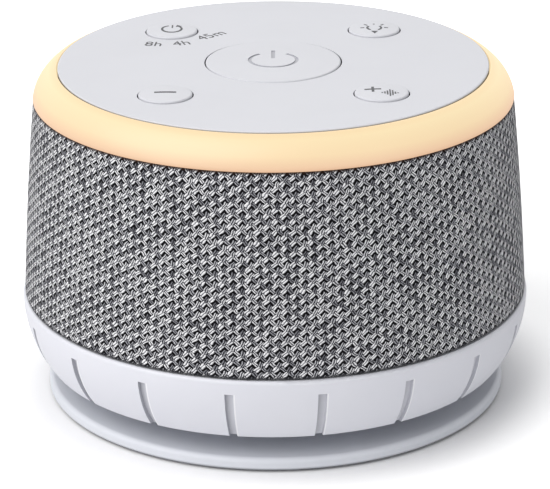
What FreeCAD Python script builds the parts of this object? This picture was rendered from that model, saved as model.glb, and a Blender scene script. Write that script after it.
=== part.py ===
import FreeCAD, Part
import math
import os
import Sketcher
from FreeCAD import Placement, Rotation, Vector

# A fan-driven white noise machine for a bedside table. Millimetres, +Z up, the front faces -Y,
# and the origin is the centre of the face that it stands on.

doc = FreeCAD.newDocument("sound_machine")
sheet = doc.addObject("Spreadsheet::Sheet", "sizes")

DRIVING_SIZES = [
    ("pad_proud", 0.6, "rubber foot ring below the foot"),
    ("pad_thickness", 1.8, "rubber foot ring, full height"),
    ("pad_inset", 5.8, "rim of the foot to the middle of the rubber ring"),
    ("pad_width", 7.0, "width of the rubber foot ring"),
    ("foot_inset", 0.5, "rim of the foot inside the ring's lip"),
    ("foot_thickness", 3.4, "foot disc at its rim"),
    ("foot_edge", 1.4, "rounding of the foot disc's upper rim"),
    ("foot_floor", 2.4, "floor of the foot inside the neck"),
    ("foot_wall", 2.4, "wall of the neck"),
    ("neck_radius", 36.0, "neck under the turning ring"),
    ("neck_height", 8.2, "neck from the foot disc to its shoulder"),
    ("shoulder_width", 5.0, "shoulder that the washer lies on"),
    ("post_inset", 9.0, "foot screw posts inside the spigot"),
    ("post_radius", 5.0, "foot screw post"),
    ("foot_screw_count", 4, "screws under the foot"),
    ("washer_thickness", 0.5, "slippery washer under the ring"),
    ("turn_gap", 0.3, "play round the turning ring"),
    ("web_thickness", 2.0, "web of the turning ring"),
    ("lip_depth", 2.1, "lip below the web"),
    ("ring_height", 18.3, "turning ring, lip to top edge"),
    ("ring_proud", 0.3, "turning ring beyond the cloth"),
    ("ring_draw", 5.9, "how far the ring draws in to its lip"),
    ("ring_wall", 2.0, "wall of the turning ring"),
    ("ring_edge", 0.9, "rounding of the ring's top edge"),
    ("groove_count", 18, "finger grooves"),
    ("groove_angle", 1.9, "width of a finger groove, degrees"),
    ("groove_depth", 1.0, "depth of a finger groove"),
    ("groove_top_drop", 4.0, "ring top to the top of a groove"),
    ("port_count", 9, "air ports"),
    ("port_gap", 1.6, "neck to an air port"),
    ("port_margin", 0.6, "air port to the shroud"),
    ("port_half_angle", 8.0, "half width of an air port, degrees"),
    ("stop_inset", 3.2, "spigot to the end stop of the ring"),
    ("stop_radius", 1.2, "end stop peg"),
    ("turn_angle", 20.0, "travel of the ring, degrees"),
    ("housing_floor", 2.2, "floor of the lower housing"),
    ("housing_wall", 2.2, "wall of the lower housing"),
    ("housing_gap", 1.3, "lower housing to the ring"),
    ("housing_flange", 2.0, "flange that carries the cage"),
    ("body_gap", 0.4, "shadow gap between ring and body"),
    ("body_height", 55.0, "cloth body"),
    ("body_foot_radius", 69.9, "cloth at its lower edge"),
    ("body_taper", 5.6, "how far the cloth body narrows"),
    ("body_barrel", 780.0, "radius of the cloth body's gentle swell"),
    ("cloth_thickness", 0.9, "woven cloth with its backing"),
    ("cage_wall", 2.4, "wall of the cage under the cloth"),
    ("cage_band", 5.0, "solid hoop at each end of the cage"),
    ("cage_hoop", 3.0, "hoop between the two rows of slots"),
    ("slot_count", 32, "slots round the cage"),
    ("slot_half_angle", 3.4, "half width of a cage slot, degrees"),
    ("boss_radius", 4.0, "screw boss"),
    ("cage_boss_inset", 12.9, "cloth to the screws at both ends of the cage"),
    ("cage_boss_height", 9.0, "screw boss at the foot of the cage"),
    ("frame_boss_length", 2.0, "screw boss under the tray"),
    ("frame_tab", 3.0, "tab of the cage under such a boss"),
    ("frame_skin", 0.4, "left of the ledge above a screw"),
    ("rib_half", 1.5, "half width of a rib"),
    ("tray_floor", 2.0, "floor of the tray that holds the electronics"),
    ("tray_depth", 8.0, "tray below its ledge"),
    ("tray_inset", 7.1, "panel's rim to the outside of the tray"),
    ("ledge_thickness", 2.2, "ledge that carries the light ring"),
    ("light_height", 8.2, "light ring"),
    ("light_gap", 0.2, "light ring above the cloth"),
    ("light_bulge", 10.4, "radius of the light ring's swell"),
    ("light_wall", 2.0, "wall of the light ring"),
    ("light_width", 5.4, "light ring, seen from above"),
    ("panel_gap", 0.3, "panel to light ring"),
    ("panel_thickness", 2.4, "control panel"),
    ("panel_edge", 0.4, "rounding of the panel's edge"),
    ("panel_wall_inset", 0.2, "tray to the panel's hidden wall"),
    ("panel_wall", 1.8, "the panel's hidden wall"),
    ("power_radius", 18.4, "power button"),
    ("power_proud", 0.6, "power button above the panel"),
    ("power_travel", 0.8, "travel of the power button"),
    ("button_inset", 0.75, "panel's hidden wall to a small button's flange"),
    ("button_radius", 7.15, "small button"),
    ("button_proud", 0.9, "small button above the panel"),
    ("button_travel", 0.6, "travel of a small button"),
    ("button_gap", 0.35, "gap round a button"),
    ("crown", 0.35, "rise of a button's face"),
    ("cap_wall", 1.8, "wall of a button cap"),
    ("flange_width", 1.4, "flange that keeps a button in"),
    ("flange_thickness", 1.2, "flange that keeps a button in"),
    ("stem_radius", 2.0, "stem under a button"),
    ("board_thickness", 1.6, "circuit boards"),
    ("board_gap", 2.2, "control board to the tray's wall"),
    ("board_lift", 2.5, "control board above the tray floor"),
    ("board_screw_inset", 4.5, "control board screws from its edge"),
    ("board_screw_count", 4, "control board screws"),
    ("chip_gap", 8.0, "power button's flange to the middle of a chip"),
    ("timer_arc", 12.4, "timer button to the lamps of its marks"),
    ("switch_side", 6.0, "push switch, square side"),
    ("switch_height", 3.5, "push switch body"),
    ("plunger_radius", 1.7, "push switch plunger"),
    ("plunger_gap", 0.15, "play round a plunger"),
    ("plunger_length", 2.8, "push switch plunger"),
    ("led_board_width", 4.6, "light board"),
    ("led_board_inset", 2.5, "light board inside the light ring"),
    ("led_board_thickness", 1.2, "light board"),
    ("led_count", 16, "lamps under the light ring"),
    ("led_side", 2.8, "lamp, square side"),
    ("led_height", 0.9, "lamp"),
    ("shroud_gap", 0.4, "cage screws to the fan shroud"),
    ("shroud_wall", 1.8, "fan shroud"),
    ("shroud_height", 42.0, "fan shroud above the housing floor"),
    ("shroud_shoulder", 14.0, "rounding of the fan shroud's shoulder"),
    ("inlet_radius", 25.0, "air inlet of the shroud"),
    ("inlet_lip", 3.0, "height of the inlet's lip"),
    ("shroud_tab_reach", 4.0, "screws of the shroud beyond it"),
    ("shroud_tab_thickness", 2.0, "tab of the shroud"),
    ("bracket_reach", 15.0, "motor bracket screws beyond its disc"),
    ("bracket_thickness", 2.0, "motor bracket"),
    ("bracket_radius", 19.0, "middle of the motor bracket"),
    ("bracket_rise", 11.8, "motor bracket above the housing floor"),
    ("arm_width", 9.0, "arm of the motor bracket"),
    ("grommet_radius", 4.4, "rubber grommet"),
    ("grommet_waist", 3.2, "rubber grommet in the bracket's eye"),
    ("grommet_height", 5.0, "rubber grommet"),
    ("tube_radius", 6.0, "bearing tube"),
    ("tube_bore", 4.0, "bearing tube"),
    ("tube_height", 14.8, "bearing tube above the bracket"),
    ("shaft_radius", 1.5, "motor shaft"),
    ("bearing_gap", 0.03, "play of the shaft in its bearings"),
    ("bearing_length", 4.0, "sintered bearing"),
    ("stator_radius", 17.0, "stator"),
    ("stator_height", 9.0, "stator"),
    ("stator_rise", 4.4, "stator above the bracket"),
    ("pole_count", 9, "stator poles"),
    ("air_gap", 0.5, "stator to magnet"),
    ("magnet_thickness", 2.4, "rotor magnet"),
    ("cup_wall", 1.2, "rotor cup"),
    ("cup_height", 13.6, "rotor cup"),
    ("hub_wall", 1.8, "impeller hub"),
    ("volute_gap", 8.8, "impeller to the shroud"),
    ("impeller_plate", 1.6, "back plate of the impeller"),
    ("blade_count", 11, "impeller blades"),
    ("blade_height", 18.0, "impeller blade"),
    ("blade_thickness", 1.4, "impeller blade"),
    ("blade_bend", 24.0, "radius of a blade's curve"),
    ("blade_sweep", 28.0, "how far a blade leans round, degrees"),
    ("blade_margin", 0.4, "blade's tip to the rim of the impeller"),
    ("hub_gap", 2.1, "impeller hub to a blade"),
    ("crown_width", 6.0, "ring on top of the blades"),
    ("crown_thickness", 1.2, "ring on top of the blades"),
    ("screw_shank", 1.5, "screw shank radius"),
    ("screw_head", 2.6, "screw head radius"),
    ("screw_head_height", 1.8, "screw head"),
    ("screw_bite", 8.0, "screw length in its boss"),
    ("screw_play", 0.2, "clearance round a screw"),
    ("socket_height", 6.4, "axis of the power socket above the table"),
    ("socket_nose", 3.6, "nose of the power socket"),
    ("socket_bore", 2.8, "bore of the power socket"),
    ("socket_depth", 9.0, "depth of the socket's bore"),
    ("socket_pin", 1.0, "centre pin of the socket"),
    ("socket_length", 12.0, "power socket behind the neck wall"),
    ("socket_width", 9.0, "power socket body"),
    ("scoop_depth", 1.6, "hollow that the plug lies in"),
    ("scoop_half_width", 4.5, "hollow that the plug lies in"),
    ("lead_radius", 1.6, "power lead inside the machine"),
    ("fan_lead_radius", 1.1, "lead of the fan motor"),
    ("lead_level", 3.3, "leads above the housing floor"),
    ("lead_gap", 4.9, "leads beside the shroud"),
    ("lead_inset", 13.5, "edge of the control board to the leads"),
    ("lead_drop", 4.0, "leads below the tray"),
    ("symbol_radius", 6.4, "power symbol, middle of its ring"),
    ("symbol_half_width", 0.5, "power symbol, half its line"),
    ("symbol_reach", 1.5, "power symbol, stroke beyond its ring"),
    ("symbol_start", 1.2, "power symbol, foot of its stroke"),
    ("symbol_depth", 0.35, "depth of the power symbol"),
    ("symbol_half_angle", 145.0, "power symbol, half of its open ring, degrees"),
]

for row, (alias, value, meaning) in enumerate(DRIVING_SIZES, start=1):
    sheet.set(f"A{row}", alias)
    sheet.set(f"B{row}", str(value))
    sheet.set(f"C{row}", meaning)
    sheet.setAlias(f"B{row}", alias)
doc.recompute()


class Size:
    """A size with the sheet expression that gives it, so that each is written once."""

    def __init__(self, value, text):
        self.value = float(value)
        self.text = text

    def __add__(self, other):
        other = as_size(other)
        return Size(self.value + other.value, f"({self.text} + {other.text})")

    def __radd__(self, other):
        return as_size(other) + self

    def __sub__(self, other):
        other = as_size(other)
        return Size(self.value - other.value, f"({self.text} - {other.text})")

    def __rsub__(self, other):
        return as_size(other) - self

    def __mul__(self, other):
        other = as_size(other)
        return Size(self.value * other.value, f"({self.text} * {other.text})")

    def __rmul__(self, other):
        return as_size(other) * self

    def __truediv__(self, other):
        other = as_size(other)
        return Size(self.value / other.value, f"({self.text} / {other.text})")

    def __rtruediv__(self, other):
        return as_size(other) / self

    def __neg__(self):
        return 0 - self

    def root(self):
        return Size(math.sqrt(self.value), f"sqrt({self.text})")

    def cosine(self):
        return Size(math.cos(math.radians(self.value)), f"cos({self.text})")

    def sine(self):
        return Size(math.sin(math.radians(self.value)), f"sin({self.text})")


def as_size(number):
    return number if isinstance(number, Size) else Size(number, repr(float(number)))


class Sizes:
    """The sheet's driving sizes by name."""

    def __getattr__(self, alias):
        return Size(sheet.get(alias), f"sizes.{alias}")


s = Sizes()
FRONT = -90.0
START, END, CENTRE = 1, 2, 3
H_AXIS, V_AXIS = -1, -2


def bind(target, path, size):
    target.setExpression(path, as_size(size).text)


def new_body(label):
    body = doc.addObject("PartDesign::Body", label)
    body.Label = label
    return body


def origin_plane(body, role):
    return next(f for f in body.Origin.OriginFeatures if f.Role == role)


def new_sketch(body, plane, name, lift=0.0, turn=0.0):
    """A sketch on one of its body's own origin planes, lifted off it and turned in it."""
    sketch = body.newObject("Sketcher::SketchObject", name)
    sketch.AttachmentSupport = [(origin_plane(body, plane), "")]
    sketch.MapMode = "FlatFace"
    lift, turn = as_size(lift), as_size(turn)
    sketch.AttachmentOffset = Placement(
        Vector(0, 0, lift.value), Rotation(Vector(0, 0, 1), turn.value)
    )
    bind(sketch, "AttachmentOffset.Base.z", lift)
    bind(sketch, "AttachmentOffset.Rotation.Angle", turn)
    return sketch


def dimension(sketch, kind, *where, size):
    """Adds a dimension to a sketch and binds it to its expression."""
    size = as_size(size)
    value = math.radians(size.value) if kind == "Angle" else size.value
    index = sketch.addConstraint(Sketcher.Constraint(kind, *where, value))
    bind(sketch, f"Constraints[{index}]", size)


def pin_point(sketch, edge, end, x, y):
    """Places one end of an edge. A zero puts it on the axis."""
    if as_size(x).value == 0:
        sketch.addConstraint(Sketcher.Constraint("PointOnObject", edge, end, V_AXIS))
    else:
        dimension(sketch, "DistanceX", edge, end, size=x)
    if as_size(y).value == 0:
        sketch.addConstraint(Sketcher.Constraint("PointOnObject", edge, end, H_AXIS))
    else:
        dimension(sketch, "DistanceY", edge, end, size=y)


def arc_between(start, end, radius, side):
    """An arc from start to end. Side 1 turns left on the way and -1 turns right."""
    chord = end - start
    half = chord.Length / 2
    reach = math.sqrt(max(radius * radius - half * half, 0.0))
    left = Vector(-chord.y, chord.x, 0).normalize()
    centre = (start + end) / 2 + left * (reach * side)
    a = math.atan2(start.y - centre.y, start.x - centre.x)
    b = math.atan2(end.y - centre.y, end.x - centre.x)
    circle = Part.Circle(centre, Vector(0, 0, 1), radius)
    return Part.ArcOfCircle(circle, a, b) if side > 0 else Part.ArcOfCircle(circle, b, a)


def draw_outline(sketch, corners):
    """A closed outline. A corner is (x, y), or (x, y, radius, side) where an arc leads to it."""
    points = [Vector(as_size(c[0]).value, as_size(c[1]).value, 0) for c in corners]
    ends = []
    for i, corner in enumerate(corners):
        before = points[i - 1]
        if len(corner) == 2:
            edge = sketch.addGeometry(Part.LineSegment(before, points[i]))
            ends.append((edge, START, END))
        else:
            radius, side = as_size(corner[2]), corner[3]
            arc = arc_between(before, points[i], radius.value, side)
            edge = sketch.addGeometry(arc)
            ends.append((edge, START, END) if side > 0 else (edge, END, START))
    for i in range(len(corners)):
        edge, _, last = ends[i]
        following, first, _ = ends[(i + 1) % len(corners)]
        sketch.addConstraint(Sketcher.Constraint("Coincident", edge, last, following, first))
    for (edge, _, last), corner in zip(ends, corners):
        pin_point(sketch, edge, last, corner[0], corner[1])
        if len(corner) == 4:
            dimension(sketch, "Radius", edge, size=corner[2])


def draw_circle(sketch, radius, x=0.0, y=0.0):
    x, y, radius = as_size(x), as_size(y), as_size(radius)
    circle = Part.Circle(Vector(x.value, y.value, 0), Vector(0, 0, 1), radius.value)
    edge = sketch.addGeometry(circle)
    pin_point(sketch, edge, CENTRE, x, y)
    dimension(sketch, "Radius", edge, size=radius)


def draw_bar(sketch, near, far, half_width):
    """A rectangle along the sketch's X axis, centred on it."""
    near, far, half_width = as_size(near), as_size(far), as_size(half_width)
    low = Vector(near.value, -half_width.value, 0)
    corners = [
        low,
        Vector(far.value, -half_width.value, 0),
        Vector(far.value, half_width.value, 0),
        Vector(near.value, half_width.value, 0),
    ]
    edges = [
        sketch.addGeometry(Part.LineSegment(corners[i], corners[(i + 1) % 4]))
        for i in range(4)
    ]
    for i in range(4):
        sketch.addConstraint(
            Sketcher.Constraint("Coincident", edges[i], END, edges[(i + 1) % 4], START)
        )
    for i in (1, 3):
        sketch.addConstraint(
            Sketcher.Constraint("Symmetric", edges[i], START, edges[i], END, H_AXIS)
        )
    dimension(sketch, "DistanceY", edges[1], START, edges[1], END, size=2 * half_width)
    dimension(sketch, "DistanceX", edges[1], START, size=far)
    dimension(sketch, "DistanceX", edges[3], START, size=near)


def draw_sector(sketch, inner, outer, half_angle):
    """A piece of a ring, centred on the sketch's X axis."""
    inner, outer, half_angle = as_size(inner), as_size(outer), as_size(half_angle)
    a = math.radians(half_angle.value)
    origin, normal = Vector(0, 0, 0), Vector(0, 0, 1)
    rim = sketch.addGeometry(
        Part.ArcOfCircle(Part.Circle(origin, normal, outer.value), -a, a)
    )
    root = sketch.addGeometry(
        Part.ArcOfCircle(Part.Circle(origin, normal, inner.value), -a, a)
    )
    sides = []
    for sign in (-1, 1):
        direction = Vector(math.cos(a), sign * math.sin(a), 0)
        sides.append(
            sketch.addGeometry(
                Part.LineSegment(direction * inner.value, direction * outer.value)
            )
        )
    for arc, radius, end in ((rim, outer, END), (root, inner, START)):
        sketch.addConstraint(Sketcher.Constraint("Coincident", arc, CENTRE, H_AXIS, START))
        dimension(sketch, "Radius", arc, size=radius)
        sketch.addConstraint(Sketcher.Constraint("Coincident", sides[0], end, arc, START))
        sketch.addConstraint(Sketcher.Constraint("Coincident", sides[1], end, arc, END))
        sketch.addConstraint(
            Sketcher.Constraint("Symmetric", arc, START, arc, END, H_AXIS)
        )
    sketch.addConstraint(Sketcher.Constraint("PointOnObject", H_AXIS, START, sides[1]))
    dimension(sketch, "Angle", sides[1], size=half_angle)


def settle(body, feature, cuts=None):
    """Makes a feature the body's tip, rebuilds it, and checks that a cut cuts."""
    body.Tip = feature
    doc.recompute()
    volume = body.Shape.Volume
    if cuts is not None and not volume < cuts - 1e-4:
        raise RuntimeError(f"{feature.Label} cuts nothing from {body.Label}")
    return feature


def revolve(body, name, corners):
    """Turns an outline of (radius, height) corners about the Z axis."""
    sketch = new_sketch(body, "XZ_Plane", f"{name}_outline")
    draw_outline(sketch, corners)
    feature = body.newObject("PartDesign::Revolution", name)
    feature.Profile = sketch
    feature.ReferenceAxis = (sketch, ["V_Axis"])
    feature.Angle = 360.0
    sketch.Visibility = False
    return settle(body, feature)


def revolved_cut(body, name, corners, angle=360.0):
    """Cuts an outline turned about the Z axis through an angle, half to each side of +X."""
    before = body.Shape.Volume
    sketch = new_sketch(body, "XZ_Plane", f"{name}_outline")
    draw_outline(sketch, corners)
    feature = body.newObject("PartDesign::Groove", name)
    feature.Profile = sketch
    feature.ReferenceAxis = (sketch, ["V_Axis"])
    feature.Midplane = as_size(angle).value < 360
    bind(feature, "Angle", angle)
    return settle(body, feature, before)


def pad(body, name, draw, base, height, turn=0.0):
    """Raises a flat outline from base by height."""
    sketch = new_sketch(body, "XY_Plane", f"{name}_outline", base, turn)
    draw(sketch)
    feature = body.newObject("PartDesign::Pad", name)
    feature.Profile = sketch
    bind(feature, "Length", height)
    return settle(body, feature)


def cut(body, name, draw, top, depth, turn=0.0):
    """Cuts a flat outline from top down by depth."""
    before = body.Shape.Volume
    sketch = new_sketch(body, "XY_Plane", f"{name}_outline", top, turn)
    draw(sketch)
    feature = body.newObject("PartDesign::Pocket", name)
    feature.Profile = sketch
    bind(feature, "Length", depth)
    return settle(body, feature, before)


def repeat_round(body, feature, count, axis="N_Axis"):
    """Copies a feature round the Z axis."""
    before = body.Shape.Volume
    pattern = body.newObject("PartDesign::PolarPattern", f"{feature.Name}_round")
    pattern.Originals = [feature]
    pattern.Axis = (feature.Profile[0], [axis])
    pattern.Angle = 360.0
    bind(pattern, "Occurrences", count)
    settle(body, pattern)
    if abs(body.Shape.Volume - before) < 1e-4:
        raise RuntimeError(f"{pattern.Label} changes nothing")
    return pattern


def place(target, x=0.0, y=0.0, z=0.0):
    for axis, size in (("x", x), ("y", y), ("z", z)):
        bind(target, f"Placement.Base.{axis}", size)


def cylinder(name, radius, height, x=0.0, y=0.0, z=0.0):
    made = doc.addObject("Part::Cylinder", name)
    bind(made, "Radius", radius)
    bind(made, "Height", height)
    place(made, x, y, z)
    return made


def block(name, length, width, height, x=0.0, y=0.0, z=0.0, turn=0.0):
    """A box centred on x and y, standing on z, turned about its own upright axis."""
    made = doc.addObject("Part::Box", name)
    length, width, turn = as_size(length), as_size(width), as_size(turn)
    bind(made, "Length", length)
    bind(made, "Width", width)
    bind(made, "Height", height)
    cosine, sine = turn.cosine(), turn.sine()
    place(
        made,
        x - length / 2 * cosine + width / 2 * sine,
        y - length / 2 * sine - width / 2 * cosine,
        z,
    )
    made.Placement = Placement(made.Placement.Base, Rotation(Vector(0, 0, 1), turn.value))
    bind(made, "Placement.Rotation.Angle", turn)
    return made


def difference(name, base, tool):
    made = doc.addObject("Part::Cut", name)
    made.Base = base
    made.Tool = tool
    return made


def union(name, shapes):
    made = doc.addObject("Part::MultiFuse", name)
    made.Shapes = shapes
    return made


def group(label, members):
    """Separate like solids that share one node."""
    made = doc.addObject("Part::Compound", label)
    made.Label = label
    made.Links = members
    return made


def polar(circle, angle):
    angle = as_size(angle)
    return as_size(circle) * angle.cosine(), as_size(circle) * angle.sine()


def round_angles(count, first=FRONT):
    """The angles of count places round the axis, from the sheet's count."""
    number = int(as_size(count).value)
    return [as_size(first) + 360.0 / as_size(count) * i for i in range(number)]


def screw(name, x, y, seat, length, upward):
    """A pan-head screw whose head rests against the height seat."""
    if upward:
        head = cylinder(f"{name}_head", s.screw_head, s.screw_head_height, x, y, seat - s.screw_head_height)
        shank = cylinder(f"{name}_shank", s.screw_shank, length, x, y, seat)
    else:
        head = cylinder(f"{name}_head", s.screw_head, s.screw_head_height, x, y, seat)
        shank = cylinder(f"{name}_shank", s.screw_shank, length, x, y, seat - length)
    return union(name, [head, shank])


def screws(label, circle, angles, seat, length, upward):
    """Like screws in a circle, heads down when upward."""
    made = []
    for i, angle in enumerate(angles):
        x, y = polar(circle, angle)
        made.append(screw(f"{label}_{i + 1}", x, y, seat, length, upward))
    return group(label, made)


# Radii, from the cloth inwards

ring_top_radius = s.body_foot_radius + s.ring_proud
ring_foot_radius = ring_top_radius - s.ring_draw
foot_radius = ring_foot_radius - s.foot_inset
pad_radius = foot_radius - s.pad_inset
spigot_radius = s.neck_radius - s.shoulder_width
post_circle = spigot_radius - s.post_inset
stop_circle = spigot_radius + s.stop_inset
body_top_radius = s.body_foot_radius - s.body_taper
light_inner = body_top_radius - s.light_width
panel_radius = light_inner - s.panel_gap
tray_radius = panel_radius - s.tray_inset
panel_wall_radius = tray_radius - s.panel_wall_inset
board_radius = tray_radius - s.panel_wall - s.board_gap
board_screw_circle = board_radius - s.board_screw_inset
button_reach = s.button_radius + s.flange_width + s.button_inset
button_circle = panel_wall_radius - s.panel_wall - button_reach
led_board_outer = body_top_radius - s.led_board_inset
led_board_inner = led_board_outer - s.led_board_width
cage_boss_circle = s.body_foot_radius - s.cage_boss_inset
shroud_radius = cage_boss_circle - s.boss_radius - s.shroud_gap
shroud_tab_circle = shroud_radius + s.shroud_tab_reach
impeller_radius = shroud_radius - s.shroud_wall - s.volute_gap
port_inner_radius = s.neck_radius + s.port_gap
port_outer_radius = shroud_radius - s.shroud_wall - s.port_margin
bracket_circle = s.bracket_radius + s.bracket_reach
lead_rise = post_circle
lead_climb = shroud_radius + s.lead_gap
lead_entry = board_radius - s.lead_inset

# Heights, from the table up

foot_bottom = s.pad_proud
foot_top = foot_bottom + s.foot_thickness
foot_inside = foot_bottom + s.foot_floor
shoulder = foot_top + s.neck_height
web_bottom = shoulder + s.washer_thickness
web_top = web_bottom + s.web_thickness
housing_bottom = web_top + s.turn_gap
housing_inside = housing_bottom + s.housing_floor
ring_bottom = web_bottom - s.lip_depth
ring_top = ring_bottom + s.ring_height
body_bottom = ring_top + s.body_gap
flange_top = body_bottom + s.housing_flange
body_top = body_bottom + s.body_height
ledge_top = body_top + s.light_gap
ledge_bottom = ledge_top - s.ledge_thickness
tray_inside = ledge_bottom - s.tray_depth + s.tray_floor
tray_bottom = tray_inside - s.tray_floor
board_bottom = tray_inside + s.board_lift
board_top = board_bottom + s.board_thickness
light_top = ledge_top + s.light_height
panel_top = light_top + s.panel_gap
panel_bottom = panel_top - s.panel_thickness
switch_top = board_top + s.switch_height
bracket_bottom = housing_inside + s.bracket_rise
bracket_top = bracket_bottom + s.bracket_thickness
grommet_bottom = bracket_bottom - (s.grommet_height - s.bracket_thickness) / 2
grommet_top = grommet_bottom + s.grommet_height

# Places round the axis, in degrees

port_angles = round_angles(s.port_count)
boss_angles = [as_size(FRONT) + 60.0 + 120.0 * i for i in range(3)]
tab_angles = [as_size(FRONT) + 120.0 * i for i in range(3)]
arm_angles = [as_size(FRONT) + 60.0 + 120.0 * i for i in range(3)]
foot_screw_angles = round_angles(s.foot_screw_count, 45.0)
board_screw_angles = round_angles(s.board_screw_count, 0.0)

foot_screw_seat = shoulder - s.foot_wall
housing_screw_seat = housing_bottom + s.screw_head_height + 0.4
shroud_tab_bottom = housing_inside + 5.0
screw_hole = s.screw_shank + s.screw_play
head_hole = s.screw_head + s.screw_play


def add_holes(body, name, circle, count, first, radius, top, depth):
    """Round holes in a circle."""
    feature = cut(
        body, name, lambda k: draw_circle(k, radius, circle), top, depth, first
    )
    return repeat_round(body, feature, count)


def add_posts(body, name, circle, count, first, radius, base, height):
    """Round posts in a circle."""
    feature = pad(
        body, name, lambda k: draw_circle(k, radius, circle), base, height, first
    )
    return repeat_round(body, feature, count)


def swell(low_radius, low, high_radius, high, bend):
    """Gives the radius at a height of a swelling side, moved inwards by an inset."""
    run = high - low
    fall = low_radius - high_radius
    chord = (run * run + fall * fall).root()
    reach = (bend * bend - chord * chord / 4).root()
    centre_r = (low_radius + high_radius) / 2 - reach * run / chord
    centre_z = (low + high) / 2 - reach * fall / chord

    def radius_at(height, inset):
        arm = bend - inset
        rise = height - centre_z
        return centre_r + (arm * arm - rise * rise).root()

    return radius_at


body_radius = swell(s.body_foot_radius, body_bottom, body_top_radius, body_top, s.body_barrel)
light_radius = swell(body_top_radius, ledge_top, light_inner, light_top, s.light_bulge)


# Foot, the part that stands still under the turning ring


def make_foot_ring():
    body = new_body("foot_ring")
    inner = pad_radius - s.pad_width / 2
    outer = pad_radius + s.pad_width / 2
    edge = 0.5 * s.pad_proud
    revolve(
        body,
        "foot_ring_solid",
        [
            (inner + edge, 0.0),
            (outer - edge, 0.0),
            (outer, edge),
            (outer, s.pad_thickness),
            (inner, s.pad_thickness),
            (inner, edge),
        ],
    )
    return body


def make_foot_base():
    body = new_body("foot_base")
    rim = foot_radius - s.foot_edge
    cavity = s.neck_radius - s.foot_wall
    throat = spigot_radius - s.foot_wall
    revolve(
        body,
        "foot_solid",
        [
            (0.0, foot_bottom),
            (foot_radius - 0.5, foot_bottom),
            (foot_radius, foot_bottom + 0.5),
            (foot_radius, foot_top - s.foot_edge),
            (rim, foot_top, s.foot_edge, 1),
            (s.neck_radius, foot_top),
            (s.neck_radius, shoulder),
            (spigot_radius, shoulder),
            (spigot_radius, housing_bottom),
            (throat, housing_bottom),
            (throat, shoulder - s.foot_wall),
            (cavity, shoulder - s.foot_wall),
            (cavity, foot_inside),
            (0.0, foot_inside),
        ],
    )
    seat = s.pad_thickness - s.pad_proud
    revolved_cut(
        body,
        "pad_seat",
        [
            (pad_radius - s.pad_width / 2, foot_bottom),
            (pad_radius + s.pad_width / 2, foot_bottom),
            (pad_radius + s.pad_width / 2, foot_bottom + seat),
            (pad_radius - s.pad_width / 2, foot_bottom + seat),
        ],
    )
    add_posts(
        body,
        "screw_post",
        post_circle,
        s.foot_screw_count,
        45.0,
        s.post_radius,
        foot_inside,
        housing_bottom - foot_inside,
    )
    add_holes(
        body,
        "screw_way",
        post_circle,
        s.foot_screw_count,
        45.0,
        screw_hole,
        housing_bottom,
        housing_bottom - foot_bottom,
    )
    add_holes(
        body,
        "screw_well",
        post_circle,
        s.foot_screw_count,
        45.0,
        head_hole,
        foot_screw_seat,
        foot_screw_seat - foot_bottom,
    )
    cut(
        body,
        "plug_scoop",
        lambda k: draw_bar(k, s.neck_radius - 0.2, foot_radius + 1.0, s.scoop_half_width),
        foot_top,
        s.scoop_depth,
        90.0,
    )
    before = body.Shape.Volume
    sketch = new_sketch(body, "XZ_Plane", "socket_hole_outline", -s.neck_radius)
    draw_circle(sketch, s.socket_nose + s.screw_play / 2, 0.0, s.socket_height)
    hole = body.newObject("PartDesign::Pocket", "socket_hole")
    hole.Profile = sketch
    hole.Midplane = True
    bind(hole, "Length", 2 * (s.foot_wall + 0.4))
    settle(body, hole, before)
    return body


def make_dc_socket():
    """The low-voltage socket in the back of the neck."""
    back = s.neck_radius - s.foot_wall
    length = s.socket_length
    body_box = block(
        "socket_box",
        s.socket_width,
        length,
        foot_screw_seat - foot_inside,
        0.0,
        back - 0.6 - length / 2,
        foot_inside,
    )
    made = []
    for name, radius, start, end in (
        ("socket_nose_bar", s.socket_nose, back - 0.8, s.neck_radius - 0.2),
        ("socket_bore_bar", s.socket_bore, s.neck_radius - 0.2 - s.socket_depth, s.neck_radius + 1.0),
        ("socket_pin_bar", s.socket_pin, s.neck_radius - 0.8 - s.socket_depth, s.neck_radius - 1.0),
    ):
        bar = doc.addObject("Part::Cylinder", name)
        bar.Placement = Placement(Vector(0, 0, 0), Rotation(Vector(1, 0, 0), -90))
        bind(bar, "Radius", radius)
        bind(bar, "Height", end - start)
        place(bar, 0.0, start, s.socket_height)
        made.append(bar)
    nose, bore, pin = made
    shell = difference("socket_shell", union("socket_outside", [body_box, nose]), bore)
    socket = union("dc_socket", [shell, pin])
    socket.Label = "dc_socket"
    return socket


def make_glide_washer():
    body = new_body("glide_washer")
    inner = spigot_radius + s.turn_gap
    outer = s.neck_radius - s.turn_gap
    revolve(
        body,
        "glide_washer_solid",
        [(inner, shoulder), (outer, shoulder), (outer, web_bottom), (inner, web_bottom)],
    )
    return body


# Turning ring

ring_drop = ring_top_radius - ring_foot_radius
curve_top = ring_top - s.ring_edge
curve_height = curve_top - ring_bottom
ring_curve = (curve_height * curve_height + ring_drop * ring_drop) / (2 * ring_drop)
curve_centre = ring_top_radius - ring_curve


def skirt_radius(height, inset):
    """Radius of the ring's swelling side at a height, moved inwards by inset."""
    arm = ring_curve - inset
    drop = curve_top - height
    return curve_centre + (arm * arm - drop * drop).root()


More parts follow.
